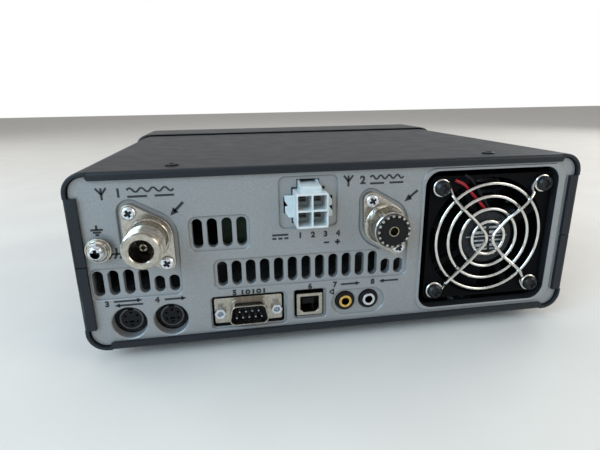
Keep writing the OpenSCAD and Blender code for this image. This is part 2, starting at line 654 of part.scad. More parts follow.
module serial_standoffs() color("#cdd0d2") for (s = [-1, 1]) rear(serial_u + s * 12.5, serial_v, face_w - 1.8) difference() {
    union() {
        cylinder(d = 5, h = 3.4, $fn = 6);
        translate([0, 0, -2]) cylinder(d = 3, h = 2.5);
    }
    translate([0, 0, -1]) cylinder(d = 2.6, h = 8);
}

module data_shell() color("#c3b9a0") rear(data_u, data_v, face_w - 17) {
    difference() {
        block(11.8, 10.7, 0.6, 17.5);
        translate([0, 0, 2]) linear_extrude(17) data_mouth();
    }
    for (s = [-1, 1]) translate([s * 4, (board_v - data_v - 5.35) / 2, 8]) cube([2, data_v - board_v - 5.35, 8], center = true);
}

module data_mouth() {
    polygon([[-4.3, 3.9], [4.3, 3.9], [4.3, -2.4], [2.8, -3.9], [-2.8, -3.9], [-4.3, -2.4]]);
}

module data_tongue() color("#2b302c") rear(data_u, data_v, face_w - 17 + 2) {
    linear_extrude(2) square([7.2, 6], center = true);
    translate([0, -0.2, 0]) block(5.6, 3, 0.4, 11.4);
}

module round_bodies() color("#1a1b1d") for (u = round_u) rear(u, round_v, back_w) difference() {
    union() {
        translate([-7.3, board_v - round_v, -12]) cube([14.6, round_v - board_v + 7.1, 12]);
        cylinder(d = round_boss_d, h = round_boss_h);
    }
    translate([0, 0, -3]) tube(5, 4.4, 6);
    for (a = [30:60:330]) rotate(a) translate([2.9, 0, -3]) cylinder(d = 1, h = 6);
    translate([-1, -1.8, -3]) cube([2, 0.9, 6]);
}

module round_shields() color("#8f9193") for (u = round_u) rear(u, round_v, back_w - 3) difference() {
    tube(5, 4.4, 3 + round_boss_h);
    translate([-1.2, 3, -1]) cube([2.4, 3, 6]);
}

module jack_collars() color("#17181a") for (u = jack_u) rear(u, jack_v, back_w) difference() {
    union() {
        translate([0, (board_v - jack_v + 5.4) / 2, -13]) linear_extrude(13) square([9.6, jack_v - board_v + 5.4], center = true);
        cylinder(d = 8.8, h = panel_t - 0.3);
    }
    translate([0, 0, -14]) cylinder(d = 5.5, h = 30);
}

module jack_bush() difference() {
    union() {
        translate([0, 0, -13]) cylinder(d = 5.5, h = 13 + panel_t);
        translate([0, 0, panel_t - 0.3]) cylinder(d = 5.9, h = 0.5);
    }
    translate([0, 0, -9]) cylinder(d = 3.6, h = 30);
}

module gold_jack() color("#c59a3f") rear(jack_u[0], jack_v, back_w) jack_bush();

module nickel_jack() color("#c9ccd0") rear(jack_u[1], jack_v, back_w) jack_bush();

module speaker() color("#2a2b2d") translate([0, y_lip + grille_w, foot_h + sheet_t]) {
    difference() {
        cylinder(r = 26, h = 3);
        translate([0, 0, -1]) cylinder(r = 22, h = 5);
    }
    translate([0, 0, 1]) difference() {
        cylinder(r1 = 23, r2 = 11, h = 7);
        translate([0, 0, -1.2]) cylinder(r1 = 23, r2 = 11, h = 7);
    }
    for (a = [45:90:315]) rotate(a) translate([9, -2, 8.5]) rotate([0, 25, 0]) cube([17, 4, 1.2]);
    translate([0, 0, 7]) cylinder(r = 12.5, h = 8);
}

module front_moulding() color("#222427") difference() {
    in_w = body_w - 2;
    in_h = body_h - 3;
    hold = 14;
    hold_z = 20;
    union() {
        difference() {
            union() {
                front(0, 0, -front_d) block(front_w, front_h, body_r + 1.5, front_d - 6);
                hull() {
                    front(0, 0, -6.01) block(front_w, front_h, body_r + 1.5, 0.01);
                    front(0, 0, -0.01) block(front_w - 8, front_h - 6, body_r - 1, 0.01);
                }
            }
            front(0, 0, -front_d - 1) block(body_w + 2 * gap, body_h + 2 * gap, body_r + gap, overlap + 1);
            front(0, 0, -front_d + overlap - 1) block(in_w, in_h, body_r - 2, front_d - overlap - plate_t + 1);
        }
        for (p = boss_at) front(p[0], p[1], control_board_d) cylinder(d = 5, h = -control_board_d - plate_t + 0.5);
        for (s = [-1, 1]) {
            front(s * (in_w / 2 - 5), hold_z, -front_d + overlap) block(10.4, hold, 1, 24);
            front(s * (inner_w / 2 - 6.4), hold_z, -front_d - 1) block(8, hold, 1, overlap + 2);
        }
    }
    front(lens_x, lens_z, -1.6) block(lens_w + 0.4, lens_h + 0.4, 2.2, 4);
    front(lens_x, lens_z, -plate_t - 1) block(lens_w - 6, lens_h - 6, 1, 6);
    for (x = screen_key_x) front(x, screen_key_z, -plate_t - 1) block(key_w + 2 * gap, key_h + 2 * gap, 1.3, 6);
    for (x = band_key_x) front(x, band_key_z, -plate_t - 1) block(key_w + 2 * gap, key_h + 2 * gap, 1.3, 6);
    front(left_x, power_z, -plate_t - 1) cylinder(d = 10 + 2 * gap, h = 6);
    front(left_x, phones_z, -plate_t - 1) cylinder(d = 9.2, h = 6);
    front(left_x, mic_z, -plate_t - 1) block(15.2, 13.2, 0.8, 6);
    front(dial_x, dial_z, -plate_t - 1) cylinder(d = 9.4, h = 6);
    for (z = [ring_z, squelch_z, selector_z]) front(knob_x, z, -plate_t - 1) cylinder(d = 9.4, h = 6);
}

module display_lens() color("#1d2731") front(lens_x, lens_z, -1.6) block(lens_w, lens_h, 2, 1.6);

module display_module() color("#30343a") {
    front(lens_x, lens_z, -plate_t - 4) block(lens_w - 2, lens_h - 2, 0.8, 4);
    front(lens_x, lens_z, control_board_d) block(lens_w - 20, lens_h - 20, 0.8, -control_board_d - plate_t - 3.5);
}

module front_board() color("#2d6b42") difference() {
    front(0, 0, control_board_d - board_t) block(body_w - 8, body_h - 6, 2, board_t);
    front(left_x - 8, -24, control_board_d - board_t - 1) cube([42, 84, 10], center = true);
}

module key_switches() color("#2b2c2e") {
    for (x = screen_key_x) front(x, screen_key_z, control_board_d) switch_body();
    for (x = band_key_x) front(x, band_key_z, control_board_d) switch_body();
    front(left_x, power_z, control_board_d) switch_body();
}

module switch_body() {
    block(6, 6, 0.5, 3.4);
    translate([0, 0, 3.4]) cylinder(d = 3.4, h = 0.8);
}

module rotary(size, deep, bore_r, tall) {
    difference() {
        union() {
            block(size, size, 1, deep);
            translate([0, 0, deep]) cylinder(d = 9, h = tall - deep);
        }
        translate([0, 0, 1.5]) cylinder(r = bore_r + run, h = tall + 2);
    }
}

module rotary_bodies() color("#9a9c9e") {
    reach = -control_board_d + 2;
    front(dial_x, dial_z, control_board_d) rotary(28, 8.8, shaft_r, reach);
    for (z = [ring_z, squelch_z, selector_z]) front(knob_x, z, control_board_d) rotary(16, 6.5, shaft_r, reach);
}

module phones_jack() color("#a9abad") front(left_x, phones_z, 0) difference() {
    union() {
        translate([0, 0, -plate_t - 20]) block(14, 14, 1, 20);
        translate([0, 0, -plate_t - 0.5]) cylinder(d = 9, h = plate_t + 2);
        translate([0, 0, 0]) cylinder(d = 12, h = 1.6);
    }
    translate([0, 0, -20]) cylinder(d = 6.4, h = 30);
}

module mic_socket() color("#1c1d1f") front(left_x, mic_z, 0) difference() {
    union() {
        translate([0, 0, -plate_t - 16]) block(18, 16, 1, 16);
        translate([0, 0, -plate_t - 0.5]) block(15, 13, 0.8, plate_t + 1);
    }
    translate([0, 0.6, -14]) block(11.8, 8, 0.4, 20);
    translate([0, -4.4, -14]) block(4, 3.6, 0.3, 20);
}

module dial_knob() color("#2a2c2f") front(dial_x, dial_z, 0) difference() {
    r = dial_d / 2;
    rotate_extrude() polygon([[0, 3.2], [r - 1, 3.2], [r - 0.4, 4], [r - 0.4, 8], [r - 2, 8], [r - 2, dial_out - 7],
        [r - 1.4, dial_out - 7], [r - 1.4, dial_out - 1.8], [r - 3, dial_out], [r - 4.6, dial_out],
        [r - 5, dial_out - 0.6], [0, dial_out - 0.6]]);
    translate([0, 0, 2]) cylinder(r = 7, h = 4.5);
    translate([0, 0, 2]) cylinder(r = shaft_r, h = dial_out - 8);
    translate([r * 0.32, r * 0.42, dial_out + 1.6]) sphere(5.2);
}

module dial_grip() color("#171819") front(dial_x, dial_z, 8) tube(dial_d / 2, dial_d / 2 - 2, dial_out - 15);

module dial_shaft() color("#b9bcbf") front(dial_x, dial_z, control_board_d + 2) cylinder(r = shaft_r, h = dial_out - 6 - control_board_d - 2);

// Turned knob with flat flutes and a pointer groove
module knob(d, low, high, flutes, pointer) {
    difference() {
        rotate_extrude() polygon([[0, low], [d / 2, low], [d / 2, high - 0.8], [d / 2 - 0.8, high], [0, high]]);
        for (i = [0:flutes - 1]) rotate((i + 0.5) * 360 / flutes) translate([d / 2 + 0.35, 0, low + 2]) cylinder(r = 0.8, h = high);
        if (pointer) translate([-0.5, d / 5, high - 0.5]) cube([1, d, 2]);
    }
}

module volume_knob() color("#2a2c2f") front(knob_x, ring_z, 0) {
    knob(ring_d * 0.6, 13.2, 22, 14, true);
    translate([0, 0, control_board_d + 2]) cylinder(r = inner_shaft_r, h = 13 - control_board_d);
}

module gain_ring() color("#2a2c2f") front(knob_x, ring_z, 0) difference() {
    union() {
        difference() {
            knob(ring_d, 2.6, 12.8, 24, true);
            translate([0, 0, 2]) cylinder(d = 10, h = 1.4);
        }
        translate([0, 0, control_board_d + 4]) cylinder(r = shaft_r, h = 12 - control_board_d - 4);
    }
    translate([0, 0, control_board_d]) cylinder(r = inner_shaft_r + run, h = 40);
}

module squelch_knob() color("#2a2c2f") front(knob_x, squelch_z, 0) {
    knob(squelch_d, 2.6, 15, 18, true);
    translate([0, 0, control_board_d + 2]) cylinder(r = shaft_r, h = 3 - control_board_d);
}

module selector_knob() color("#2a2c2f") front(knob_x, selector_z, 0) {
    knob(selector_d, 2.6, 17, 20, false);
    translate([0, 0, control_board_d + 2]) cylinder(r = shaft_r, h = 3 - control_board_d);
}

// Cap through the face, collar behind it, and a stem down to the switch
module key(w, h) {
    low = control_board_d + 4.2 + key_travel + 0.2;
    translate([0, 0, low]) block(w - 1, h - 1, 0.6, -plate_t - 0.4 - low);
    translate([0, 0, -plate_t - 1.4]) block(w + 1.6, h + 1.6, 0.8, 1.1);
    translate([0, 0, -plate_t - 0.4]) block(w, h, 1, plate_t + 1.9);
}

module power_button() color("#2e3033") front(left_x, power_z, 0) {
    low = control_board_d + 4.2 + key_travel + 0.2;
    translate([0, 0, low]) cylinder(d = 6, h = -plate_t - 0.4 - low);
    translate([0, 0, -plate_t - 1.4]) cylinder(d = 12, h = 1.1);
    translate([0, 0, -plate_t - 0.4]) cylinder(d = 10, h = plate_t + 2);
}

module screen_key_1() color("#3a3d41") front(screen_key_x[0], screen_key_z, 0) key(key_w, key_h);
module screen_key_2() color("#3a3d41") front(screen_key_x[1], screen_key_z, 0) key(key_w, key_h);
module screen_key_3() color("#3a3d41") front(screen_key_x[2], screen_key_z, 0) key(key_w, key_h);
module screen_key_4() color("#3a3d41") front(screen_key_x[3], screen_key_z, 0) key(key_w, key_h);
module band_key_1() color("#3a3d41") front(band_key_x[0], band_key_z, 0) key(key_w, key_h);
module band_key_2() color("#3a3d41") front(band_key_x[1], band_key_z, 0) key(key_w, key_h);
module band_key_3() color("#3a3d41") front(band_key_x[2], band_key_z, 0) key(key_w, key_h);

rear_panel();
chassis();
top_cover();
bottom_cover();
front_moulding();
display_lens();
display_module();
front_board();
main_board();
amplifier_board();
heat_sink();
fan_frame();
fan_guard();
fan_screws();
fan_leads();
threaded_socket();
threaded_insulator();
notched_socket();
notched_insulator();
antenna_contacts();
socket_screws();
ground_collar();
ground_screw();
power_header();
power_contacts();
serial_shell();
serial_insert();
serial_pins();
serial_standoffs();
data_shell();
data_tongue();
round_bodies();
round_shields();
jack_collars();
gold_jack();
nickel_jack();
cover_screws();
feet();
foot_screws();
speaker();
key_switches();
rotary_bodies();
phones_jack();
mic_socket();
fan_rotor();
dial_knob();
dial_grip();
dial_shaft();
volume_knob();
gain_ring();
squelch_knob();
selector_knob();
power_button();
screen_key_1();
screen_key_2();
screen_key_3();
screen_key_4();
band_key_1();
band_key_2();
band_key_3();
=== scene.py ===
import json
from math import atan2, cos, hypot, pi, radians, sin

import bmesh
import bpy
from mathutils import Matrix, Vector

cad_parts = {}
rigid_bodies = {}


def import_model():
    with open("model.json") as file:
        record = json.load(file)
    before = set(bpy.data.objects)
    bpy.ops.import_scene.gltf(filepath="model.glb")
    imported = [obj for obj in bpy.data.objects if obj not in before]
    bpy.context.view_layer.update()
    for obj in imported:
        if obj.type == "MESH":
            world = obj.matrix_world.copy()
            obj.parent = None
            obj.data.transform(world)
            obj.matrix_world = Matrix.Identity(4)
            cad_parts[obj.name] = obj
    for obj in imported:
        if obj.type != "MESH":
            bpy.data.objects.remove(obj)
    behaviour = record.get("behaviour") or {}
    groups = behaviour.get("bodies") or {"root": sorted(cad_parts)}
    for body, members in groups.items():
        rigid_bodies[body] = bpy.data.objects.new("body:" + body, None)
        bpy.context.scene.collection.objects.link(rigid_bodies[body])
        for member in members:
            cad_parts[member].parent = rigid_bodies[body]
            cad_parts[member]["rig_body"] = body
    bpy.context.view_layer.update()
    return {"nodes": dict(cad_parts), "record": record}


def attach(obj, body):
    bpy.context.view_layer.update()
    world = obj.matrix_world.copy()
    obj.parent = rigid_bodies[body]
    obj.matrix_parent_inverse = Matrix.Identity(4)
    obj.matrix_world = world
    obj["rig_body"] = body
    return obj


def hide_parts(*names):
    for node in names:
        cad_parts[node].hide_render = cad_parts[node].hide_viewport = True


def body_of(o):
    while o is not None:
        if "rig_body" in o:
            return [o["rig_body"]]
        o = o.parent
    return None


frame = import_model()
cadNodes = frame["nodes"]
record = frame["record"]
scene = bpy.context.scene
mm = 0.001
print("frame loaded:", len(cadNodes), "nodes")

# camera at the photograph's place, in metres, with the lens and sensor in millimetres
cameraSettings = {
    "place": (0.04656, 0.2855, 0.10996),
    "right": (-0.9871, 0.15946, -0.01471),
    "up": (-0.05955, -0.28026, 0.95808),
    "back": (0.14865, 0.94659, 0.28614),
    "lens": 25.8, "sensor": 36, "nearest": 0.01,
}


def addCamera(s):
    data = bpy.data.cameras.new("deskCamera")
    data.sensor_width = s["sensor"]
    data.lens = s["lens"]
    data.clip_start = s["nearest"]
    camera = bpy.data.objects.new("deskCamera", data)
    scene.collection.objects.link(camera)
    turn = Matrix((s["right"], s["up"], s["back"])).transposed()
    camera.matrix_world = Matrix.Translation(s["place"]) @ turn.to_4x4()
    scene.camera = camera


addCamera(cameraSettings)
scene.view_settings.view_transform = "Standard"
print("camera placed")

# places on the case, in millimetres: lipY is the outside of the rear lips, faceY the front face,
# panelW the rear panel's face as seen from the lips
caseFrame = {"lipY": 112.0, "faceY": -98.0, "midZ": 44.75, "panelW": -1.6}


def rearPlace(u, v, w=0.0, turn=0.0):
    spot = Vector((-u, caseFrame["lipY"] + w, caseFrame["midZ"] + v)) * mm
    axes = Matrix(((-1, 0, 0), (0, 0, 1), (0, 1, 0))).to_4x4()
    spin = Matrix.Rotation(radians(turn), 4, "Z")
    return Matrix.Translation(spot) @ axes @ spin @ Matrix.Scale(mm, 4)


def frontPlace(x, z, d=0.0):
    spot = Vector((x, caseFrame["faceY"] - d, caseFrame["midZ"] + z)) * mm
    axes = Matrix(((1, 0, 0), (0, 0, -1), (0, 1, 0))).to_4x4()
    return Matrix.Translation(spot) @ axes @ Matrix.Scale(mm, 4)


def panelPlace(spot):  # the way back from metres to u, v and w
    return -spot.x / mm, spot.z / mm - caseFrame["midZ"], spot.y / mm - caseFrame["lipY"]


def moveAll(bm, place):
    bmesh.ops.transform(bm, matrix=place, verts=bm.verts[:])


# finishes: dark and light are the two tones that the mottle mixes, sizes are in millimetres
finishBase = {"mix": (0.3, 0.7), "smear": 9.0, "smearMix": (0.25, 0.75), "relief": 0.3, "fixed": {},
              "mottleDetail": 3, "smearDetail": 4, "grainDetail": 2}


def makeFinish(name, own):
    s = {**finishBase, **own}
    finish = bpy.data.materials.new(name)
    finish.use_nodes = True
    nodes = finish.node_tree.nodes
    link = finish.node_tree.links.new
    shader = nodes["Principled BSDF"]
    for socket, value in s["fixed"].items():
        shader.inputs[socket].default_value = value
    where = nodes.new("ShaderNodeTexCoord")

    def noise(size, detail):
        node = nodes.new("ShaderNodeTexNoise")
        node.inputs["Scale"].default_value = 1 / (size * mm)
        node.inputs["Detail"].default_value = detail
        link(where.outputs["Object"], node.inputs["Vector"])
        return node.outputs["Fac"]

    tones = nodes.new("ShaderNodeValToRGB")
    for k, tone in enumerate((s["dark"], s["light"])):
        tones.color_ramp.elements[k].position = s["mix"][k]
        tones.color_ramp.elements[k].color = (*tone, 1)
    link(noise(s["mottle"], s["mottleDetail"]), tones.inputs["Fac"])
    link(tones.outputs["Color"], shader.inputs["Base Color"])
    sheen = nodes.new("ShaderNodeMapRange")
    for k, end in enumerate(("Min", "Max")):
        sheen.inputs["From " + end].default_value = s["smearMix"][k]
        sheen.inputs["To " + end].default_value = s["rough"][k]
    link(noise(s["smear"], s["smearDetail"]), sheen.inputs["Value"])
    link(sheen.outputs["Result"], shader.inputs["Roughness"])
    bump = nodes.new("ShaderNodeBump")
    bump.inputs["Strength"].default_value = s["relief"]
    bump.inputs["Distance"].default_value = s["depth"] * mm
    link(noise(s["grain"], s["grainDetail"]), bump.inputs["Height"])
    link(bump.outputs["Normal"], shader.inputs["Normal"])
    return finish


finishSettings = {
    "cover_paint": {"dark": (0.006, 0.009, 0.012), "light": (0.011, 0.014, 0.018), "mottle": 0.5,
                    "rough": (0.38, 0.47), "grain": 0.45, "depth": 0.05, "relief": 0.35,
                    "fixed": {"Specular IOR Level": 0.32}},
    "panel_paint": {"dark": (0.245, 0.252, 0.255), "light": (0.320, 0.328, 0.330), "mottle": 0.35,
                    "rough": (0.36, 0.45), "grain": 0.5, "depth": 0.03, "fixed": {"Metallic": 0.40}},
    "casting": {"dark": (0.30, 0.31, 0.32), "light": (0.45, 0.46, 0.47), "mottle": 2.0,
                "rough": (0.40, 0.60), "grain": 0.8, "depth": 0.05, "fixed": {"Metallic": 0.9}},
    "nickel": {"dark": (0.37, 0.34, 0.29), "light": (0.54, 0.505, 0.44), "mottle": 1.6,
               "rough": (0.15, 0.26), "grain": 0.6, "depth": 0.01, "fixed": {"Metallic": 1.0}},
    "zinc": {"dark": (0.58, 0.62, 0.67), "light": (0.78, 0.80, 0.82), "mottle": 1.0,
             "rough": (0.20, 0.32), "grain": 0.5, "depth": 0.01, "fixed": {"Metallic": 1.0}},
    "black_screw": {"dark": (0.006, 0.006, 0.007), "light": (0.014, 0.015, 0.016), "mottle": 0.8,
                    "rough": (0.28, 0.40), "grain": 0.5, "depth": 0.01, "fixed": {"Metallic": 0.4}},
    "wire_chrome": {"dark": (0.62, 0.61, 0.58), "light": (0.78, 0.77, 0.74), "mottle": 2.5,
                    "rough": (0.10, 0.20), "grain": 0.8, "depth": 0.006, "fixed": {"Metallic": 1.0}},
    "fan_plastic": {"dark": (0.0015, 0.0015, 0.002), "light": (0.003, 0.003, 0.004), "mottle": 1.2,
                    "rough": (0.46, 0.58), "grain": 0.4, "depth": 0.02,
                    "fixed": {"Specular IOR Level": 0.06}},
    "lead": {"dark": (0.24, 0.006, 0.010), "light": (0.36, 0.012, 0.018), "mottle": 1.5,
             "rough": (0.34, 0.46), "grain": 0.6, "depth": 0.01, "fixed": {"Specular IOR Level": 0.3}},
    "white_nylon": {"dark": (0.54, 0.59, 0.59), "light": (0.62, 0.67, 0.67), "mottle": 3.0,
                    "rough": (0.36, 0.46), "grain": 0.5, "depth": 0.015,
                    "fixed": {"Subsurface Weight": 0.15, "Subsurface Scale": 0.002}},
    "black_plastic": {"dark": (0.003, 0.003, 0.004), "light": (0.007, 0.007, 0.008), "mottle": 1.0,
                      "rough": (0.36, 0.48), "grain": 0.4, "depth": 0.02,
                      "fixed": {"Specular IOR Level": 0.2}},
    "pale_insulator": {"dark": (0.012, 0.011, 0.010), "light": (0.034, 0.031, 0.027), "mottle": 0.7,
                       "rough": (0.40, 0.55), "grain": 0.6, "depth": 0.02,
                       "fixed": {"Specular IOR Level": 0.3}},
    "contact": {"dark": (0.24, 0.21, 0.16), "light": (0.42, 0.38, 0.29), "mottle": 0.8,
                "rough": (0.22, 0.34), "grain": 0.4, "depth": 0.01, "fixed": {"Metallic": 1.0}},
    "dull_metal": {"dark": (0.055, 0.054, 0.053), "light": (0.11, 0.108, 0.105), "mottle": 0.9,
                   "rough": (0.32, 0.46), "grain": 0.5, "depth": 0.01, "fixed": {"Metallic": 0.8}},
    "gold": {"dark": (0.66, 0.41, 0.10), "light": (0.82, 0.55, 0.17), "mottle": 1.2,
             "rough": (0.14, 0.24), "grain": 0.5, "depth": 0.006, "fixed": {"Metallic": 1.0}},
    "board": {"dark": (0.012, 0.070, 0.030), "light": (0.022, 0.105, 0.045), "mottle": 2.0,
              "rough": (0.32, 0.45), "grain": 0.5, "depth": 0.03},
    "moulding": {"dark": (0.014, 0.015, 0.016), "light": (0.024, 0.025, 0.027), "mottle": 0.6,
                 "rough": (0.42, 0.52), "grain": 0.35, "depth": 0.04, "relief": 0.4},
    "lens": {"dark": (0.006, 0.008, 0.011), "light": (0.010, 0.013, 0.017), "mottle": 20.0,
             "rough": (0.04, 0.07), "grain": 4.0, "depth": 0.003, "fixed": {"Coat Weight": 0.5}},
    "display": {"dark": (0.03, 0.034, 0.040), "light": (0.045, 0.05, 0.056), "mottle": 2.0,
                "rough": (0.35, 0.50), "grain": 0.5, "depth": 0.02},
    "rubber": {"dark": (0.010, 0.010, 0.010), "light": (0.018, 0.018, 0.018), "mottle": 0.7,
               "rough": (0.62, 0.78), "grain": 0.35, "depth": 0.04},
    "knob": {"dark": (0.016, 0.017, 0.018), "light": (0.026, 0.027, 0.029), "mottle": 0.8,
             "rough": (0.32, 0.42), "grain": 0.4, "depth": 0.02},
    "key": {"dark": (0.036, 0.038, 0.041), "light": (0.052, 0.054, 0.058), "mottle": 0.8,
            "rough": (0.40, 0.50), "grain": 0.35, "depth": 0.03},
    "steel": {"dark": (0.36, 0.37, 0.38), "light": (0.52, 0.53, 0.54), "mottle": 1.5,
              "rough": (0.26, 0.40), "grain": 0.5, "depth": 0.01, "fixed": {"Metallic": 1.0}},
}
extraSettings = {
    "darkPrint": {"dark": (0.008, 0.009, 0.011), "light": (0.016, 0.018, 0.021), "mottle": 0.6,
                  "rough": (0.45, 0.55), "grain": 0.3, "depth": 0.01},
    "palePrint": {"dark": (0.52, 0.53, 0.54), "light": (0.62, 0.63, 0.64), "mottle": 0.6,
                  "rough": (0.45, 0.55), "grain": 0.3, "depth": 0.01},
    "blackLead": {"dark": (0.003, 0.003, 0.004), "light": (0.007, 0.007, 0.008), "mottle": 1.5,
                  "rough": (0.36, 0.48), "grain": 0.6, "depth": 0.01,
                  "fixed": {"Specular IOR Level": 0.15}},
    "darkLabel": {"dark": (0.008, 0.009, 0.010), "light": (0.022, 0.023, 0.025), "mottle": 1.8,
                  "rough": (0.28, 0.42), "grain": 0.8, "depth": 0.01,
                  "fixed": {"Specular IOR Level": 0.2}},
    "silverInk": {"dark": (0.34, 0.35, 0.36), "light": (0.52, 0.53, 0.54), "mottle": 0.7,
                  "rough": (0.25, 0.40), "grain": 0.5, "depth": 0.01, "fixed": {"Metallic": 0.5}},
    "dimShield": {"dark": (0.075, 0.075, 0.076), "light": (0.13, 0.13, 0.13), "mottle": 0.9,
                  "rough": (0.34, 0.46), "grain": 0.5, "depth": 0.01, "fixed": {"Metallic": 0.9}},
    "shadePaint": {"dark": (0.006, 0.007, 0.008), "light": (0.012, 0.013, 0.015), "mottle": 0.8,
                   "rough": (0.50, 0.62), "grain": 0.5, "depth": 0.02},
}
finishOf = {name: makeFinish(name, s) for name, s in finishSettings.items()}
extraOf = {name: makeFinish(name, s) for name, s in extraSettings.items()}
slotOf = {part["node"]: part["material_slot"] for part in record["subparts"]}
print("finishes made:", len(finishOf) + len(extraOf))

# pieces: merge is in metres, flatWeight keeps broad faces flat beside rounded edges
pieceSettings = {"merge": 1e-7, "flatWeight": 80}


def addPiece(name, bm, finish, slotName, body, nodes=(), crease=35, outward=True, second=None):
    if outward:
        bmesh.ops.remove_doubles(bm, verts=bm.verts[:], dist=pieceSettings["merge"])
        bmesh.ops.recalc_face_normals(bm, faces=bm.faces[:])
    mesh = bpy.data.meshes.new(name)
    bm.to_mesh(mesh)
    bm.free()
    mesh.materials.append(finish)
    if second:
        mesh.materials.append(second)
    mesh.shade_smooth()
    mesh.set_sharp_from_angle(angle=radians(crease))
    piece = bpy.data.objects.new(name, mesh)
    scene.collection.objects.link(piece)
    flat = piece.modifiers.new("flatShade", "WEIGHTED_NORMAL")
    flat.keep_sharp = True
    flat.weight = pieceSettings["flatWeight"]
    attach(piece, body)
    if nodes:
        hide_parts(*nodes)
    return piece


# softened copies of the solids: the rounding of each node's edges in millimetres
softEdges = {
    "rear_panel": 0.30, "top_cover": 0.18, "bottom_cover": 0.18, "front_moulding": 0.5,
    "display_lens": 0.3, "fan_frame": 0.25, "fan_rotor": 0.12, "fan_screws": 0.10, "cover_screws": 0.10,
    "socket_screws": 0.12, "notched_socket": 0.12, "threaded_insulator": 0.15, "notched_insulator": 0.15,
    "antenna_contacts": 0.08, "ground_collar": 0.15, "ground_screw": 0.12, "power_header": 0.22,
    "power_contacts": 0.08, "serial_shell": 0.15, "serial_insert": 0.12, "serial_pins": 0.05,
    "serial_standoffs": 0.12, "data_shell": 0.15, "data_tongue": 0.12, "round_bodies": 0.10,
    "round_shields": 0.08, "jack_collars": 0.15, "gold_jack": 0.10, "nickel_jack": 0.10, "feet": 0.4,
    "foot_screws": 0.12, "phones_jack": 0.25, "mic_socket": 0.3, "dial_knob": 0.25, "volume_knob": 0.15,
    "gain_ring": 0.15, "squelch_knob": 0.15, "selector_knob": 0.15, "power_button": 0.35,
    "screen_key_1": 0.4, "screen_key_2": 0.4, "screen_key_3": 0.4, "screen_key_4": 0.4,
    "band_key_1": 0.4, "band_key_2": 0.4, "band_key_3": 0.4,
}
softSettings = {"merge": 1e-6, "level": 0.6, "steep": 38, "narrow": 28}  # metres, then degrees


def mergedCopy(nodeName):
    bm = bmesh.new()
    bm.from_mesh(cadNodes[nodeName].data)
    bmesh.ops.remove_doubles(bm, verts=bm.verts[:], dist=softSettings["merge"])
    bmesh.ops.dissolve_limit(bm, angle_limit=radians(softSettings["level"]), verts=bm.verts[:],
                             edges=bm.edges[:])
    return bm


def softenEdges(bm, edge, only=None, segments=2):
    steep = radians(softSettings["steep"])
    narrow = radians(softSettings["narrow"])
    sharp = {e for e in bm.edges if len(e.link_faces) == 2 and e.calc_face_angle(0) > steep}
    if only:
        sharp = {e for e in sharp if only(e)}
    for vert in bm.verts:  # edges that meet in a sliver stay as they are
        mine = [e for e in vert.link_edges if e in sharp]
        ways = [e.other_vert(vert).co - vert.co for e in mine]
        if any(a.angle(b, pi) < narrow for i, a in enumerate(ways) for b in ways[:i]):
            sharp.difference_update(mine)
    bmesh.ops.bevel(bm, geom=list(sharp), offset=edge * mm, offset_type="OFFSET", affect="EDGES",
                    segments=segments, profile=0.5, material=-1, clamp_overlap=False, loop_slide=False)


def softPiece(nodeName, edge):
    bm = mergedCopy(nodeName)
    if nodeName == "rear_panel":
        softenEdges(bm, panelSettings["rim"], isPocketRim, panelSettings["rimSteps"])
        bmesh.ops.remove_doubles(bm, verts=bm.verts[:], dist=softSettings["merge"])
        softenEdges(bm, edge, isRoomy)
    elif nodeName in bendSettings["covers"]:
        softenEdges(bm, bendSettings["radius"], isBend, bendSettings["steps"])
        softenEdges(bm, edge, isBehindLips)
    else:
        softenEdges(bm, edge)
    second = None
    if nodeName in shadeOf:
        shade, settings = shadeOf[nodeName]
        shade(bm, settings)
        second = extraOf["shadePaint"]
    slotName = slotOf[nodeName]
    finish = extraOf["dimShield"] if nodeName == "round_shields" else finishOf[slotName]
    body = body_of(cadNodes[nodeName])[0]
    addPiece(nodeName + "_soft", bm, finish, slotName, body, [nodeName], outward=False, second=second)


# covers: the folds along the rear lips are rounder than the cut edges
bendSettings = {"covers": ("top_cover", "bottom_cover"), "radius": 0.7, "steps": 4, "lip": 1.9,
                "near": 0.02, "upright": 0.1, "outward": 0.03}


def isBehindLips(edge):
    return all(v.co.y < (caseFrame["lipY"] - bendSettings["lip"]) * mm for v in edge.verts)


def isBend(edge):
    s = bendSettings
    if any(abs(v.co.y - caseFrame["lipY"] * mm) > s["near"] * mm for v in edge.verts):
        return False
    spot = (edge.verts[0].co + edge.verts[1].co) / 2
    away = Vector((spot.x, 0, spot.z - caseFrame["midZ"] * mm))
    return any(abs(f.normal.y) < s["upright"] and f.normal.dot(away) > s["outward"] for f in edge.link_faces)


# screws: the cross recess lies in shade, found by its depth under the head and its distance from the axis
recessSettings = {"nodes": ("socket_screws", "ground_screw", "fan_screws", "cover_screws"),
                  "high": 0.1, "low": 1.35, "reach": 0.62, "rim": 0.9}


def islandsOf(bm):
    left = set(bm.verts)
    while left:
        island = []
        front = [left.pop()]
        while front:
            vert = front.pop()
            island.append(vert)
            fresh = {e.other_vert(vert) for e in vert.link_edges} & left
            left -= fresh
            front.extend(fresh)
        yield island


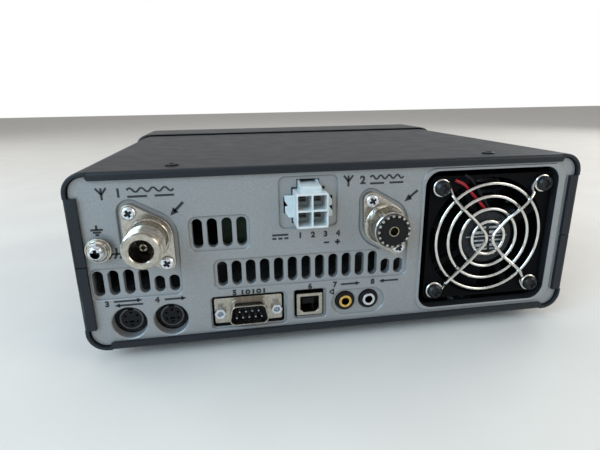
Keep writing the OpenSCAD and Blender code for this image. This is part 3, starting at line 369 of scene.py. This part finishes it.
def shadeRecess(bm, s):
    for island in islandsOf(bm):
        lows = [min(v.co[k] for v in island) for k in range(3)]
        highs = [max(v.co[k] for v in island) for k in range(3)]
        middle = (Vector(lows) + Vector(highs)) / 2
        along = max(range(3), key=lambda k: highs[k] - lows[k])
        across = [k for k in range(3) if k != along]

        def reach(spot):
            return hypot(*(spot[k] - middle[k] for k in across))

        headRadius = max(reach(v.co) for v in island)
        rim = [v.co[along] for v in island if reach(v.co) > s["rim"] * headRadius]
        top = highs[along] if sum(rim) / len(rim) > middle[along] else lows[along]
        for face in {f for v in island for f in v.link_faces}:
            spot = face.calc_center_median()
            depth = abs(spot[along] - top) / mm
            if s["high"] < depth < s["low"] and reach(spot) < s["reach"] * headRadius:
                face.material_index = 1


# second socket: the notches cut into its rim lie in shade
notchSettings = {"high": 0.06, "low": 1.6, "rim": 5.4, "near": 0.02, "facing": 0.8}


def shadeNotches(bm, s):
    top = max(panelPlace(v.co)[2] for v in bm.verts)
    tips = [panelPlace(v.co)[:2] for v in bm.verts if panelPlace(v.co)[2] > top - s["near"]]
    middle = [sum(spot[k] for spot in tips) / len(tips) for k in range(2)]
    for face in bm.faces:
        u, v, w = panelPlace(face.calc_center_median())
        outside = hypot(u - middle[0], v - middle[1]) > s["rim"]
        outward = Vector((middle[0] - u, 0, v - middle[1])).normalized()
        sideways = abs(face.normal.dot(outward)) < s["facing"]
        if s["high"] < top - w < s["low"] and outside and sideways:
            face.material_index = 1


# rear panel: wide soft rims on the shallow pockets, painted shade on the walls in the deep openings (u0, u1,
# v0, v1)
panelSettings = {
    "rim": 0.75, "rimSteps": 3, "face": caseFrame["panelW"], "floor": -2.8, "near": 0.02, "floorNear": 0.05,
    "upright": 0.4, "below": 0.3,
    "dark": ((36.5, 102.6, -33.2, 33.6), (-59.2, -26.4, -33.7, -18.6), (-22.4, -8.1, -32.3, -18.5),
             (-26.0, -4.4, 12.6, 32.2)),
    "tight": ((-60.5, -24.5, -35.5, -17.0), (-24.0, -6.5, -34.0, -17.0)),
}


def isInside(u, v, areas):
    return any(a < u < b and c < v < d for a, b, c, d in areas)


def isPocketRim(edge):
    s = panelSettings
    if any(abs(panelPlace(v.co)[2] - s["face"]) > s["near"] for v in edge.verts):
        return False
    lowest = min(panelPlace(v.co)[2] for face in edge.link_faces for v in face.verts)
    return abs(lowest - s["floor"]) < s["floorNear"]


def isRoomy(edge):  # a narrow pocket floor has no room for rounded edges
    s = panelSettings
    spots = [panelPlace(v.co) for v in edge.verts]
    if any(abs(w - s["floor"]) > s["near"] for u, v, w in spots):
        return True
    return not isInside(spots[0][0], spots[0][1], s["tight"])


# walls deep in the listed openings get the shadePaint material: painted shade
def shadeWalls(bm, s):
    for face in bm.faces:
        u, v, w = panelPlace(face.calc_center_median())
        isWall = abs(face.normal.y) < s["upright"] and w < s["floor"] - s["below"]
        if isWall and isInside(u, v, s["dark"]):
            face.material_index = 1


# main board: its cut edge behind the rear panel lies in shade
boardSettings = {"near": -12.0, "facing": 0.9}


def shadedBoard(s):
    bm = mergedCopy("main_board")
    for face in bm.faces:
        if face.normal.y > s["facing"] and panelPlace(face.calc_center_median())[2] > s["near"]:
            face.material_index = 1
    addPiece("main_board_soft", bm, finishOf["board"], "board", "case", ["main_board"], outward=False,
             second=extraOf["shadePaint"])


shadeOf = {nodeName: (shadeRecess, recessSettings) for nodeName in recessSettings["nodes"]}
shadeOf["notched_socket"] = (shadeNotches, notchSettings)
shadeOf["rear_panel"] = (shadeWalls, panelSettings)
shadedBoard(boardSettings)
for nodeName, edge in softEdges.items():
    softPiece(nodeName, edge)
print("softened pieces:", len(softEdges))


# turned pieces: an outline spun round an upright axis
def spinRound(bm, geom, centre, steps):
    bmesh.ops.spin(bm, geom=geom, cent=centre, axis=(0, 0, 1), angle=2 * pi, steps=steps,
                   use_merge=True, use_duplicate=False)


# threaded socket: radii, and heights above the lips; flanks are shares of one ridge's pitch
threadedSettings = {
    "at": (-81.65, 10.9), "bore": 4.45, "boreFloor": 6.1, "tip": 16.5, "nose": 7.1, "threadTop": 14.9,
    "threadLow": 6.3, "crest": 7.7, "root": 7.05, "ridges": 6, "flanks": (0.1, 0.35, 0.7, 0.95),
    "neck": 6.9, "ring": 8.54, "ringTop": 1.8, "chamfer": 0.35, "flangeTop": 0.0, "sunk": 0.4,
    "wall": 0.5, "steps": 72, "crease": 28, "cutBelow": 0.01, "flangeEdge": 0.18,
}


def threadedBarrel(s):
    edge = s["chamfer"]
    foot = s["flangeTop"] - s["sunk"]
    pitch = (s["threadTop"] - s["threadLow"]) / s["ridges"]
    profile = [(s["bore"], s["boreFloor"]), (s["bore"], s["tip"] - edge), (s["bore"] + edge, s["tip"])]
    profile += [(s["nose"] - edge, s["tip"]), (s["nose"], s["tip"] - edge), (s["nose"], s["threadTop"])]
    for i in range(s["ridges"]):
        top = s["threadTop"] - i * pitch
        for share, part in zip(s["flanks"], ("root", "crest", "crest", "root")):
            profile.append((s[part], top - share * pitch))
    profile += [(s["neck"], s["threadLow"] - edge), (s["neck"], s["ringTop"])]
    profile += [(s["ring"] - edge, s["ringTop"]), (s["ring"], s["ringTop"] - edge), (s["ring"], foot)]
    profile.append((s["bore"] + s["wall"], foot))
    bm = bmesh.new()
    spots = [bm.verts.new((r, 0, h)) for r, h in profile]
    edges = [bm.edges.new(pair) for pair in zip(spots, spots[1:] + spots[:1])]
    spinRound(bm, spots + edges, (0, 0, 0), s["steps"])
    moveAll(bm, rearPlace(*s["at"]))
    addPiece("threadedBarrel", bm, finishOf["nickel"], "nickel", "case", ["threaded_socket"],
             crease=s["crease"])


def threadedFlange(s):
    bm = mergedCopy("threaded_socket")
    cut = Vector((0, (caseFrame["lipY"] + s["flangeTop"] - s["cutBelow"]) * mm, 0))
    bmesh.ops.bisect_plane(bm, geom=bm.verts[:] + bm.edges[:] + bm.faces[:], dist=pieceSettings["merge"],
                           plane_co=cut, plane_no=(0, 1, 0), clear_outer=True)
    rims = [e for e in bm.edges if len(e.link_faces) == 1]
    bmesh.ops.edgenet_fill(bm, edges=rims)
    softenEdges(bm, s["flangeEdge"])
    addPiece("threadedFlange", bm, finishOf["nickel"], "nickel", "case", ["threaded_socket"])


threadedBarrel(threadedSettings)
threadedFlange(threadedSettings)
print("threaded socket made")


def addCurve(bm, curve, place):
    path = bpy.data.objects.new(curve.name, curve)
    mesh = bpy.data.meshes.new_from_object(path)
    mesh.transform(place)
    bm.from_mesh(mesh)
    bpy.data.objects.remove(path)
    bpy.data.curves.remove(curve)
    bpy.data.meshes.remove(mesh)


# round wire: an open bend along points, or a closed loop
wireSettings = {"bendSteps": 8, "bendSides": 3, "loopSides": 12}


def addWire(bm, points, wire, place):
    curve = bpy.data.curves.new("wirePath", "CURVE")
    curve.dimensions = "3D"
    curve.resolution_u = wireSettings["bendSteps"]
    curve.bevel_depth = wire / 2
    curve.bevel_resolution = wireSettings["bendSides"]
    curve.use_fill_caps = True
    spline = curve.splines.new("BEZIER")
    spline.bezier_points.add(len(points) - 1)
    for knot, point in zip(spline.bezier_points, points):
        knot.co = point
        knot.handle_left_type = "AUTO"
        knot.handle_right_type = "AUTO"
    addCurve(bm, curve, place)


def addLoop(bm, centre, radius, wire, steps):
    made = bmesh.ops.create_circle(bm, segments=wireSettings["loopSides"], radius=wire / 2)
    stand = Matrix.Translation(Vector(centre) + Vector((radius, 0, 0))) @ Matrix.Rotation(pi / 2, 4, "X")
    bmesh.ops.transform(bm, matrix=stand, verts=made["verts"])
    edges = list({e for vert in made["verts"] for e in vert.link_edges})
    spinRound(bm, made["verts"] + edges, centre, steps)


# fan guard: four rings, two bent wires across them and a loop round each screw
guardSettings = {
    "at": (70.6, 0.2, -4.0), "wire": 1.6, "rings": (8.04, 14.04, 20.04, 26.04), "ringHeight": 1.3,
    "ringSteps": 72, "legHeight": 2.8, "low": 0.8, "tip": (21.75, 26.4), "turn": (20.3, 23.3),
    "knee": (19.4, 20.2), "bow": (5.0, 5.8), "middle": 1.6, "far": 25.0, "loop": 3.5, "loopSteps": 32,
}


def guardWires(s):
    place = rearPlace(*s["at"])
    bm = bmesh.new()
    for radius in s["rings"]:
        addLoop(bm, (0, 0, s["ringHeight"]), radius, s["wire"], s["ringSteps"])
    for side in (-1, 1):
        for rise in (-1, 1):
            corner = (side * s["far"], rise * s["far"], s["low"])
            addLoop(bm, corner, s["loop"], s["wire"], s["loopSteps"])
    moveAll(bm, place)
    half = [(*s["tip"], s["low"]), (*s["turn"], s["low"]), (*s["knee"], s["legHeight"]),
            (*s["bow"], s["legHeight"])]
    for side in (-1, 1):
        route = [(side * x, y, z) for x, y, z in half]
        route.append((side * s["middle"], 0, s["legHeight"]))
        route += [(side * x, -y, z) for x, y, z in reversed(half)]
        addWire(bm, route, s["wire"], place)
    addPiece("guardWires", bm, finishOf["wire_chrome"], "wire_chrome", "case", ["fan_guard"])


guardWires(guardSettings)

# fan leads: one route from the hub to the frame, turned a little for the second lead
leadSettings = {"at": guardSettings["at"], "wire": 1.4, "turns": (0.0, -8.0),
                "names": ("redLead", "blackLead"), "finishes": (finishOf["lead"], extraOf["blackLead"]),
                "route": ((-2.5, 14.3, -0.25), (-6.9, 18.8, -0.25), (-11.6, 23.7, -0.1),
                          (-14.6, 26.2, 0.8), (-18.6, 28.0, 0.8))}


def fanLeads(s):
    for name, finish, turn in zip(s["names"], s["finishes"], s["turns"]):
        bm = bmesh.new()
        addWire(bm, s["route"], s["wire"], rearPlace(*s["at"], turn))
        addPiece(name, bm, finish, "lead", "case", ["fan_leads"])


fanLeads(leadSettings)
print("fan guard and leads made")

# marks: bars, rings and plain numbers, a hair thick, standing just proud of the face they lie on
markSettings = {"thick": 0.04, "ringStep": 12, "leastSteps": 8, "dotSides": 16, "letterSteps": 3}
markThick = markSettings["thick"]


def addBar(bm, ax, ay, bx, by, width):
    made = bmesh.ops.create_cube(bm, size=1)
    turn = Matrix.Rotation(atan2(by - ay, bx - ax), 4, "Z")
    size = Matrix.Diagonal((hypot(bx - ax, by - ay), width, markThick, 1))
    middle = Matrix.Translation(((ax + bx) / 2, (ay + by) / 2, markThick / 2))
    bmesh.ops.transform(bm, matrix=middle @ turn @ size, verts=made["verts"])


def addChain(bm, spots, width):
    for a, b in zip(spots, spots[1:]):
        addBar(bm, *a, *b, width)


def addRing(bm, x, y, radius, width, start=0.0, sweep=360.0):
    steps = max(markSettings["leastSteps"], int(sweep / markSettings["ringStep"]))
    angles = [radians(start + sweep * i / steps) for i in range(steps + 1)]
    addChain(bm, [(x + radius * cos(a), y + radius * sin(a)) for a in angles], width)


def addDisc(bm, radius, sides):
    return bmesh.ops.create_cone(bm, cap_ends=True, segments=sides, radius1=radius, radius2=radius,
                                 depth=markThick)["verts"]


def addDot(bm, x, y, radius):
    verts = addDisc(bm, radius, markSettings["dotSides"])
    bmesh.ops.translate(bm, vec=(x, y, markThick / 2), verts=verts)


def addNumber(bm, words, x, y, size, weight):
    letters = bpy.data.curves.new("numberPath", "FONT")
    letters.body = words
    letters.size = size
    letters.align_x = "CENTER"
    letters.align_y = "CENTER"
    letters.offset = weight
    letters.extrude = markThick / 2
    letters.resolution_u = markSettings["letterSteps"]
    addCurve(bm, letters, Matrix.Translation((x, y, markThick / 2)))


def addWave(bm, x, y, length, height, width, turns, steps):
    shares = [i / steps for i in range(steps + 1)]
    spots = [(x + length * share, y + height / 2 * sin(2 * pi * turns * share)) for share in shares]
    addChain(bm, spots, width)


# signs: every value is a share of the sign's size
signShares = {
    "aerial": {"fork": 0.05, "arm": 0.42},
    "arrow": {"slim": 0.8},
    "earth": {"stem": 0.6, "top": 0.15, "gap": 0.24, "halves": (0.55, 0.36, 0.17)},
    "chassis": {"stem": 0.55, "half": 0.5, "teeth": (-0.45, 0.0, 0.45), "slant": 0.22, "drop": 0.42},
    "speaker": {"back": 0.35, "neck": 0.1, "front": 0.2, "low": 0.2, "high": 0.5},
}


def addAerial(bm, x, y, size, width):
    s = signShares["aerial"]
    addBar(bm, x, y - size / 2, x, y + size / 2, width)
    for side in (-1, 1):
        addBar(bm, x, y - size * s["fork"], x + side * size * s["arm"], y + size / 2, width)


def addArrow(bm, ax, ay, bx, by, width, head):
    way = atan2(by - ay, bx - ax)
    addBar(bm, ax, ay, bx - head * cos(way), by - head * sin(way), width)
    middle = Matrix.Translation((bx - head * cos(way), by - head * sin(way), markThick / 2))
    turn = Matrix.Rotation(way - pi / 2, 4, "Z")
    slim = Matrix.Diagonal((signShares["arrow"]["slim"], 1, 1, 1))
    bmesh.ops.transform(bm, matrix=middle @ turn @ slim, verts=addDisc(bm, head, 3))


def addSwap(bm, x, y, length, gap, width, head):
    for side in (-1, 1):
        level = y + side * gap
        addArrow(bm, x - side * length / 2, level, x + side * length / 2, level, width, head)


def addEarth(bm, x, y, size, width):
    s = signShares["earth"]
    addBar(bm, x, y + size * s["top"], x, y + size * s["stem"], width)
    for k, half in enumerate(s["halves"]):
        level = y + size * (s["top"] - s["gap"] * k)
        addBar(bm, x - size * half, level, x + size * half, level, width)


def addChassisSign(bm, x, y, size, width):
    s = signShares["chassis"]
    addBar(bm, x, y, x, y + size * s["stem"], width)
    addBar(bm, x - size * s["half"], y, x + size * s["half"], y, width)
    for tooth in s["teeth"]:
        addBar(bm, x + size * tooth, y, x + size * (tooth - s["slant"]), y - size * s["drop"], width)


def addSpeaker(bm, x, y, size, width):
    s = {name: share * size for name, share in signShares["speaker"].items()}
    addBar(bm, x - s["back"], y - s["low"], x - s["back"], y + s["low"], width)
    for side in (-1, 1):
        low, high = y + side * s["low"], y + side * s["high"]
        addChain(bm, [(x - s["back"], low), (x - s["neck"], low), (x + s["front"], high)], width)
    addBar(bm, x + s["front"], y - s["high"], x + s["front"], y + s["high"], width)


# rear marks: places are u and v on the panel, and a bar or arrow has both its ends
rearMarkSettings = {
    "line": 0.88, "thin": 0.9, "number": 4.8, "small": 3.4, "weight": 0.22, "head": 1.5, "lift": 0.01,
    "antennas": {"at": ((-97.7, 29.7), (2.1, 30.5)), "lengths": (18.0, 15.0), "aerial": 4.8,
                 "number": 6.3, "wave": 9.6, "rise": 1.1, "height": 1.7, "turns": 4, "steps": 48,
                 "drop": 1.5, "dash": 0.42},
    "pointers": ((-66.9, 25.0, -72.4, 19.6), (33.6, 25.0, 27.7, 20.2)),
    "pointerLine": 1.3, "pointerHead": 1.5,
    "earth": (-101.4, 14.6, 4.4), "chassis": (-95.0, 4.6, 4.8),
    "direct": (-31.2, 8.3, -24.2, 8.3), "dashes": {"at": (-31.2, 6.7), "step": 2.6, "long": 1.8, "count": 3},
    "ways": {"at": (-19.0, 7.5), "step": 5.6, "count": 4},
    "polarity": ((-8.6, 3.6, -6.2, 3.6), (-3.6, 3.6, -1.2, 3.6), (-2.4, 2.4, -2.4, 4.8)),
    "numbers": {"3": (-101.8, -17.6), "4": (-81.4, -17.4), "5": (-48.6, -17.0), "6": (-14.9, -16.9),
                "7": (-3.4, -17.0), "8": (14.4, -17.0)},
    "swap": (-93.2, -17.6, 11.6, 0.95),
    "arrows": ((-78.4, -17.4, -69.2, -17.4), (-0.6, -17.1, 8.6, -17.1), (26.8, -17.0, 17.4, -17.0)),
    "bits": {"at": (-45.2, -17.0), "step": 2.4, "count": 5, "ring": 0.8, "half": 1.1},
    "speaker": (-4.6, -20.4, 2.8), "speakerLine": 0.7,
}


def antennaMarks(bm, s, line, thin, size, weight):
    for k, (x, y) in enumerate(s["at"]):
        length = s["lengths"][k]
        start, low = x + s["wave"], y - s["drop"]
        addAerial(bm, x, y, s["aerial"], line)
        addNumber(bm, str(k + 1), x + s["number"], y, size, weight)
        addWave(bm, start, y + s["rise"], length, s["height"], thin, s["turns"], s["steps"])
        addBar(bm, start, low, start + length * s["dash"], low, line)
        addBar(bm, start + length * (1 - s["dash"]), low, start + length, low, line)


def powerMarks(bm, s, line):
    addBar(bm, *s["direct"], line)
    x, y = s["dashes"]["at"]
    for k in range(s["dashes"]["count"]):
        start = x + k * s["dashes"]["step"]
        addBar(bm, start, y, start + s["dashes"]["long"], y, line)
    x, y = s["ways"]["at"]
    for k in range(s["ways"]["count"]):
        addNumber(bm, str(k + 1), x + k * s["ways"]["step"], y, s["small"], s["weight"])
    for bar in s["polarity"]:
        addBar(bm, *bar, line)


def serialMarks(bm, s, line, thin):
    x, y = s["at"]
    for k in range(s["count"]):
        spot = x + k * s["step"]
        if k % 2:
            addRing(bm, spot, y, s["ring"], thin)
        else:
            addBar(bm, spot, y - s["half"], spot, y + s["half"], line)


def rearMarks(s):
    bm = bmesh.new()
    line, head = s["line"], s["head"]
    thin = line * s["thin"]
    antennaMarks(bm, s["antennas"], line, thin, s["number"], s["weight"])
    for ends in s["pointers"]:
        addArrow(bm, *ends, line * s["pointerLine"], head * s["pointerHead"])
    addEarth(bm, *s["earth"], line)
    addChassisSign(bm, *s["chassis"], line)
    powerMarks(bm, s, line)
    for words, (x, y) in s["numbers"].items():
        addNumber(bm, words, x, y, s["small"], s["weight"])
    addSwap(bm, *s["swap"], line, head)
    for ends in s["arrows"]:
        addArrow(bm, *ends, line, head)
    serialMarks(bm, s["bits"], line, thin)
    addSpeaker(bm, *s["speaker"], line * s["speakerLine"])
    moveAll(bm, rearPlace(0, 0, caseFrame["panelW"] + s["lift"]))
    addPiece("rearMarks", bm, extraOf["darkPrint"], "panel_paint", "case")


rearMarks(rearMarkSettings)

# hub label: a disc with plain lines (place, height), each in two spans of the half width but one
hubSettings = {
    "at": guardSettings["at"], "radius": 12.4, "bevel": 0.1, "thick": 0.12, "sides": 64, "margin": 2.0,
    "lines": ((7.0, 0.7), (4.7, 1.0), (2.3, 1.3), (0.4, 0.5), (-1.7, 0.7), (-4.0, 1.4), (-6.0, 0.8),
              (-8.6, 0.6)),
    "whole": 3, "left": (-0.66, -0.1), "right": (0.06, 0.72), "shift": 0.3,
}


def hubLabel(s):
    place = rearPlace(*s["at"])
    bm = bmesh.new()
    bmesh.ops.create_cone(bm, cap_ends=True, segments=s["sides"], radius1=s["radius"],
                          radius2=s["radius"] - s["bevel"], depth=s["thick"])
    moveAll(bm, place @ Matrix.Translation((0, 0, s["thick"] / 2)))
    addPiece("hubLabel", bm, extraOf["darkLabel"], "fan_plastic", "case")
    bm = bmesh.new()
    for k, (y, height) in enumerate(s["lines"]):
        half = (s["radius"] ** 2 - y * y) ** 0.5 - s["margin"]
        shift = k * s["shift"]
        if k == s["whole"]:
            addBar(bm, -half, y, half, y, height)
        else:
            addBar(bm, half * s["left"][0], y, half * s["left"][1] + shift, y, height)
            addBar(bm, half * s["right"][0] + shift, y, half * s["right"][1], y, height)
    moveAll(bm, place @ Matrix.Translation((0, 0, s["thick"])))
    addPiece("hubLabelLines", bm, extraOf["silverInk"], "fan_plastic", "case")


hubLabel(hubSettings)
print("rear marks made")

# dial grip: a ribbed ring, each rib with four points round, of which two lie in the valley
gripSettings = {"at": (43.0, -8.0), "low": 8.0, "high": 23.5, "outer": 25.0, "inner": 23.0, "ribs": 72,
                "points": 4, "valleyPoints": 2, "valley": 0.55, "crease": 30}


def dialGrip(s):
    bm = bmesh.new()
    around = s["ribs"] * s["points"]
    made = bmesh.ops.create_circle(bm, segments=around, radius=s["outer"])
    sunk = [vert for k, vert in enumerate(made["verts"]) if k % s["points"] < s["valleyPoints"]]
    bmesh.ops.scale(bm, vec=Vector((1, 1, 1)) * (1 - s["valley"] / s["outer"]), verts=sunk)
    bmesh.ops.create_circle(bm, segments=around, radius=s["inner"])
    floor = bmesh.ops.bridge_loops(bm, edges=bm.edges[:])
    bmesh.ops.translate(bm, vec=(0, 0, s["low"]), verts=bm.verts[:])
    grown = bmesh.ops.extrude_face_region(bm, geom=floor["faces"])
    raised = [g for g in grown["geom"] if isinstance(g, bmesh.types.BMVert)]
    bmesh.ops.translate(bm, vec=(0, 0, s["high"] - s["low"]), verts=raised)
    moveAll(bm, frontPlace(*s["at"]))
    addPiece("dialGripRibs", bm, finishOf["rubber"], "rubber", "tuning_dial", ["dial_grip"],
             crease=s["crease"])


dialGrip(gripSettings)


def addPaleMark(name, bm, place, slotName, body):
    moveAll(bm, place)
    addPiece(name, bm, extraOf["palePrint"], slotName, body)


# knobs: an inlay in each pointer groove and a scale of dots round it, over the knob's own range
knobSettings = {
    "volume": {"at": (94.0, 22.0), "radius": 6.6, "top": 21.5, "dots": 0},
    "gain": {"at": (94.0, 22.0), "radius": 11.0, "top": 12.3, "dots": 11},
    "squelch": {"at": (94.0, -3.0), "radius": 7.5, "top": 14.5, "dots": 11},
}
inlaySettings = {"start": 0.5, "margin": 0.9, "line": 0.7, "lift": 0.02, "first": 240, "range": 300,
                 "scaleGap": 2.0, "dot": 0.45, "dotLift": 0.01}


def knobInlays(knobs, s):
    dots = bmesh.new()
    for body, knob in knobs.items():
        bm = bmesh.new()
        addBar(bm, 0, knob["radius"] * s["start"], 0, knob["radius"] - s["margin"], s["line"])
        addPaleMark(body + "Pointer", bm, frontPlace(*knob["at"], knob["top"] + s["lift"]), "knob", body)
        reach = knob["radius"] + s["scaleGap"]
        for k in range(knob["dots"]):
            a = radians(s["first"] - s["range"] * k / (knob["dots"] - 1))
            addDot(dots, knob["at"][0] + reach * cos(a), knob["at"][1] + reach * sin(a), s["dot"])
    addPaleMark("knobDots", dots, frontPlace(0, 0, s["dotLift"]), "moulding", "case")


knobInlays(knobSettings, inlaySettings)

# keys: numbers under the display, up, ring and down over the dial, and a power sign
keySettings = {
    "screenX": (-69.0, -48.5, -28.0, -7.5), "screenZ": -27.0, "bandX": (22.0, 43.0, 64.0), "bandZ": 27.0,
    "top": 1.51, "power": (-98.0, 25.0), "powerTop": 1.61, "number": 4.2, "weight": 0.04, "line": 0.5,
    "ring": 1.3, "tail": 1.0, "tip": 1.6, "head": 2.0, "powerRing": (2.0, 125, 290), "powerBar": (0.4, 2.6),
}


def keyMarks(s):
    for k, x in enumerate(s["screenX"]):
        bm = bmesh.new()
        addNumber(bm, str(k + 1), 0, 0, s["number"], s["weight"])
        place = frontPlace(x, s["screenZ"], s["top"])
        addPaleMark(f"screenKeyMark{k + 1}", bm, place, "key", f"screen_key_{k + 1}_cap")
    for k, x in enumerate(s["bandX"]):
        bm = bmesh.new()
        way = 1 - k
        if way:
            addArrow(bm, 0, -way * s["tail"], 0, way * s["tip"], s["line"], s["head"])
        else:
            addRing(bm, 0, 0, s["ring"], s["line"])
        place = frontPlace(x, s["bandZ"], s["top"])
        addPaleMark(f"bandKeyMark{k + 1}", bm, place, "key", f"band_key_{k + 1}_cap")
    bm = bmesh.new()
    radius, start, sweep = s["powerRing"]
    addRing(bm, 0, 0, radius, s["line"], start, sweep)
    addBar(bm, 0, s["powerBar"][0], 0, s["powerBar"][1], s["line"])
    addPaleMark("powerMark", bm, frontPlace(*s["power"], s["powerTop"]), "key", "power")


keyMarks(keySettings)
print("front marks made")

# the solids left as they are get their finish
for nodeName, node in cadNodes.items():
    finish = finishOf[slotOf[nodeName]]
    if node.material_slots:
        for holder in node.material_slots:
            holder.material = finish
    else:
        node.data.materials.append(finish)

# floor, soft studio light and a pale surround, in metres and watts
studioSettings = {
    "floor": 3.0, "aim": (0, 0.03, 0.045), "fill": 0.38, "room": (0.50, 0.52), "roomSpan": (-0.6, 0.8),
    "floorPaint": {"dark": (0.74, 0.71, 0.66), "light": (0.78, 0.75, 0.70), "mottle": 60.0,
                   "rough": (0.55, 0.65), "grain": 2.0, "depth": 0.01},
    "lamps": {
        "leftBox": {"place": (0.75, 0.70, 0.55), "size": (0.8, 0.7), "power": 10.5,
                    "tint": (0.52, 0.78, 1.0)},
        "rightBox": {"place": (-0.75, 0.60, 0.45), "size": (0.5, 0.5), "power": 2.6,
                     "tint": (1.0, 0.93, 0.82)},
        "topBox": {"place": (0.0, -0.15, 1.15), "size": (1.1, 1.1), "power": 3.4, "tint": (1.0, 1.0, 1.0)},
        "frontLeftBox": {"place": (-1.1, -0.55, 0.6), "size": (0.6, 0.6), "power": 4.0,
                         "tint": (1.0, 1.0, 1.0)},
        "frontRightBox": {"place": (1.1, -0.55, 0.6), "size": (0.6, 0.6), "power": 4.0,
                          "tint": (1.0, 1.0, 1.0)},
    },
}


def addFloor(s):
    bm = bmesh.new()
    bmesh.ops.create_grid(bm, x_segments=1, y_segments=1, size=s["floor"])
    mesh = bpy.data.meshes.new("deskFloor")
    bm.to_mesh(mesh)
    bm.free()
    floor = bpy.data.objects.new("deskFloor", mesh)
    scene.collection.objects.link(floor)
    mesh.materials.append(makeFinish("floorPaint", s["floorPaint"]))


def addLamps(s):
    for name, lamp in s["lamps"].items():
        light = bpy.data.lights.new(name, "AREA")
        light.shape = "RECTANGLE"
        light.size, light.size_y = lamp["size"]
        light.energy = lamp["power"]
        light.color = lamp["tint"]
        holder = bpy.data.objects.new(name, light)
        scene.collection.objects.link(holder)
        way = Vector(s["aim"]) - Vector(lamp["place"])
        turn = way.to_track_quat("-Z", "Y").to_matrix().to_4x4()
        holder.matrix_world = Matrix.Translation(lamp["place"]) @ turn


def addRoom(s):  # white to the camera, dimmer as fill light and in reflections
    world = bpy.data.worlds.new("paleRoom")
    scene.world = world
    world.use_nodes = True
    nodes = world.node_tree.nodes
    link = world.node_tree.links.new
    back = nodes["Background"]
    back.inputs["Color"].default_value = (1, 1, 1, 1)
    ray = nodes.new("ShaderNodeLightPath")
    where = nodes.new("ShaderNodeTexCoord")
    parts = nodes.new("ShaderNodeSeparateXYZ")
    link(where.outputs["Generated"], parts.inputs["Vector"])
    room = nodes.new("ShaderNodeMapRange")
    for k, end in enumerate(("Min", "Max")):
        room.inputs["From " + end].default_value = s["roomSpan"][k]
        room.inputs["To " + end].default_value = s["room"][k]
    link(parts.outputs["Y"], room.inputs["Value"])
    gloss = nodes.new("ShaderNodeMath")
    gloss.operation = "MAXIMUM"
    link(ray.outputs["Is Glossy Ray"], gloss.inputs[0])
    link(ray.outputs["Is Transmission Ray"], gloss.inputs[1])
    shine = nodes.new("ShaderNodeMix")
    shine.inputs["A"].default_value = s["fill"]
    link(gloss.outputs["Value"], shine.inputs["Factor"])
    link(room.outputs["Result"], shine.inputs["B"])
    seen = nodes.new("ShaderNodeMix")
    seen.inputs["B"].default_value = 1.0
    link(ray.outputs["Is Camera Ray"], seen.inputs["Factor"])
    link(shine.outputs["Result"], seen.inputs["A"])
    link(seen.outputs["Result"], back.inputs["Strength"])


addFloor(studioSettings)
addLamps(studioSettings)
addRoom(studioSettings)
print("studio set")
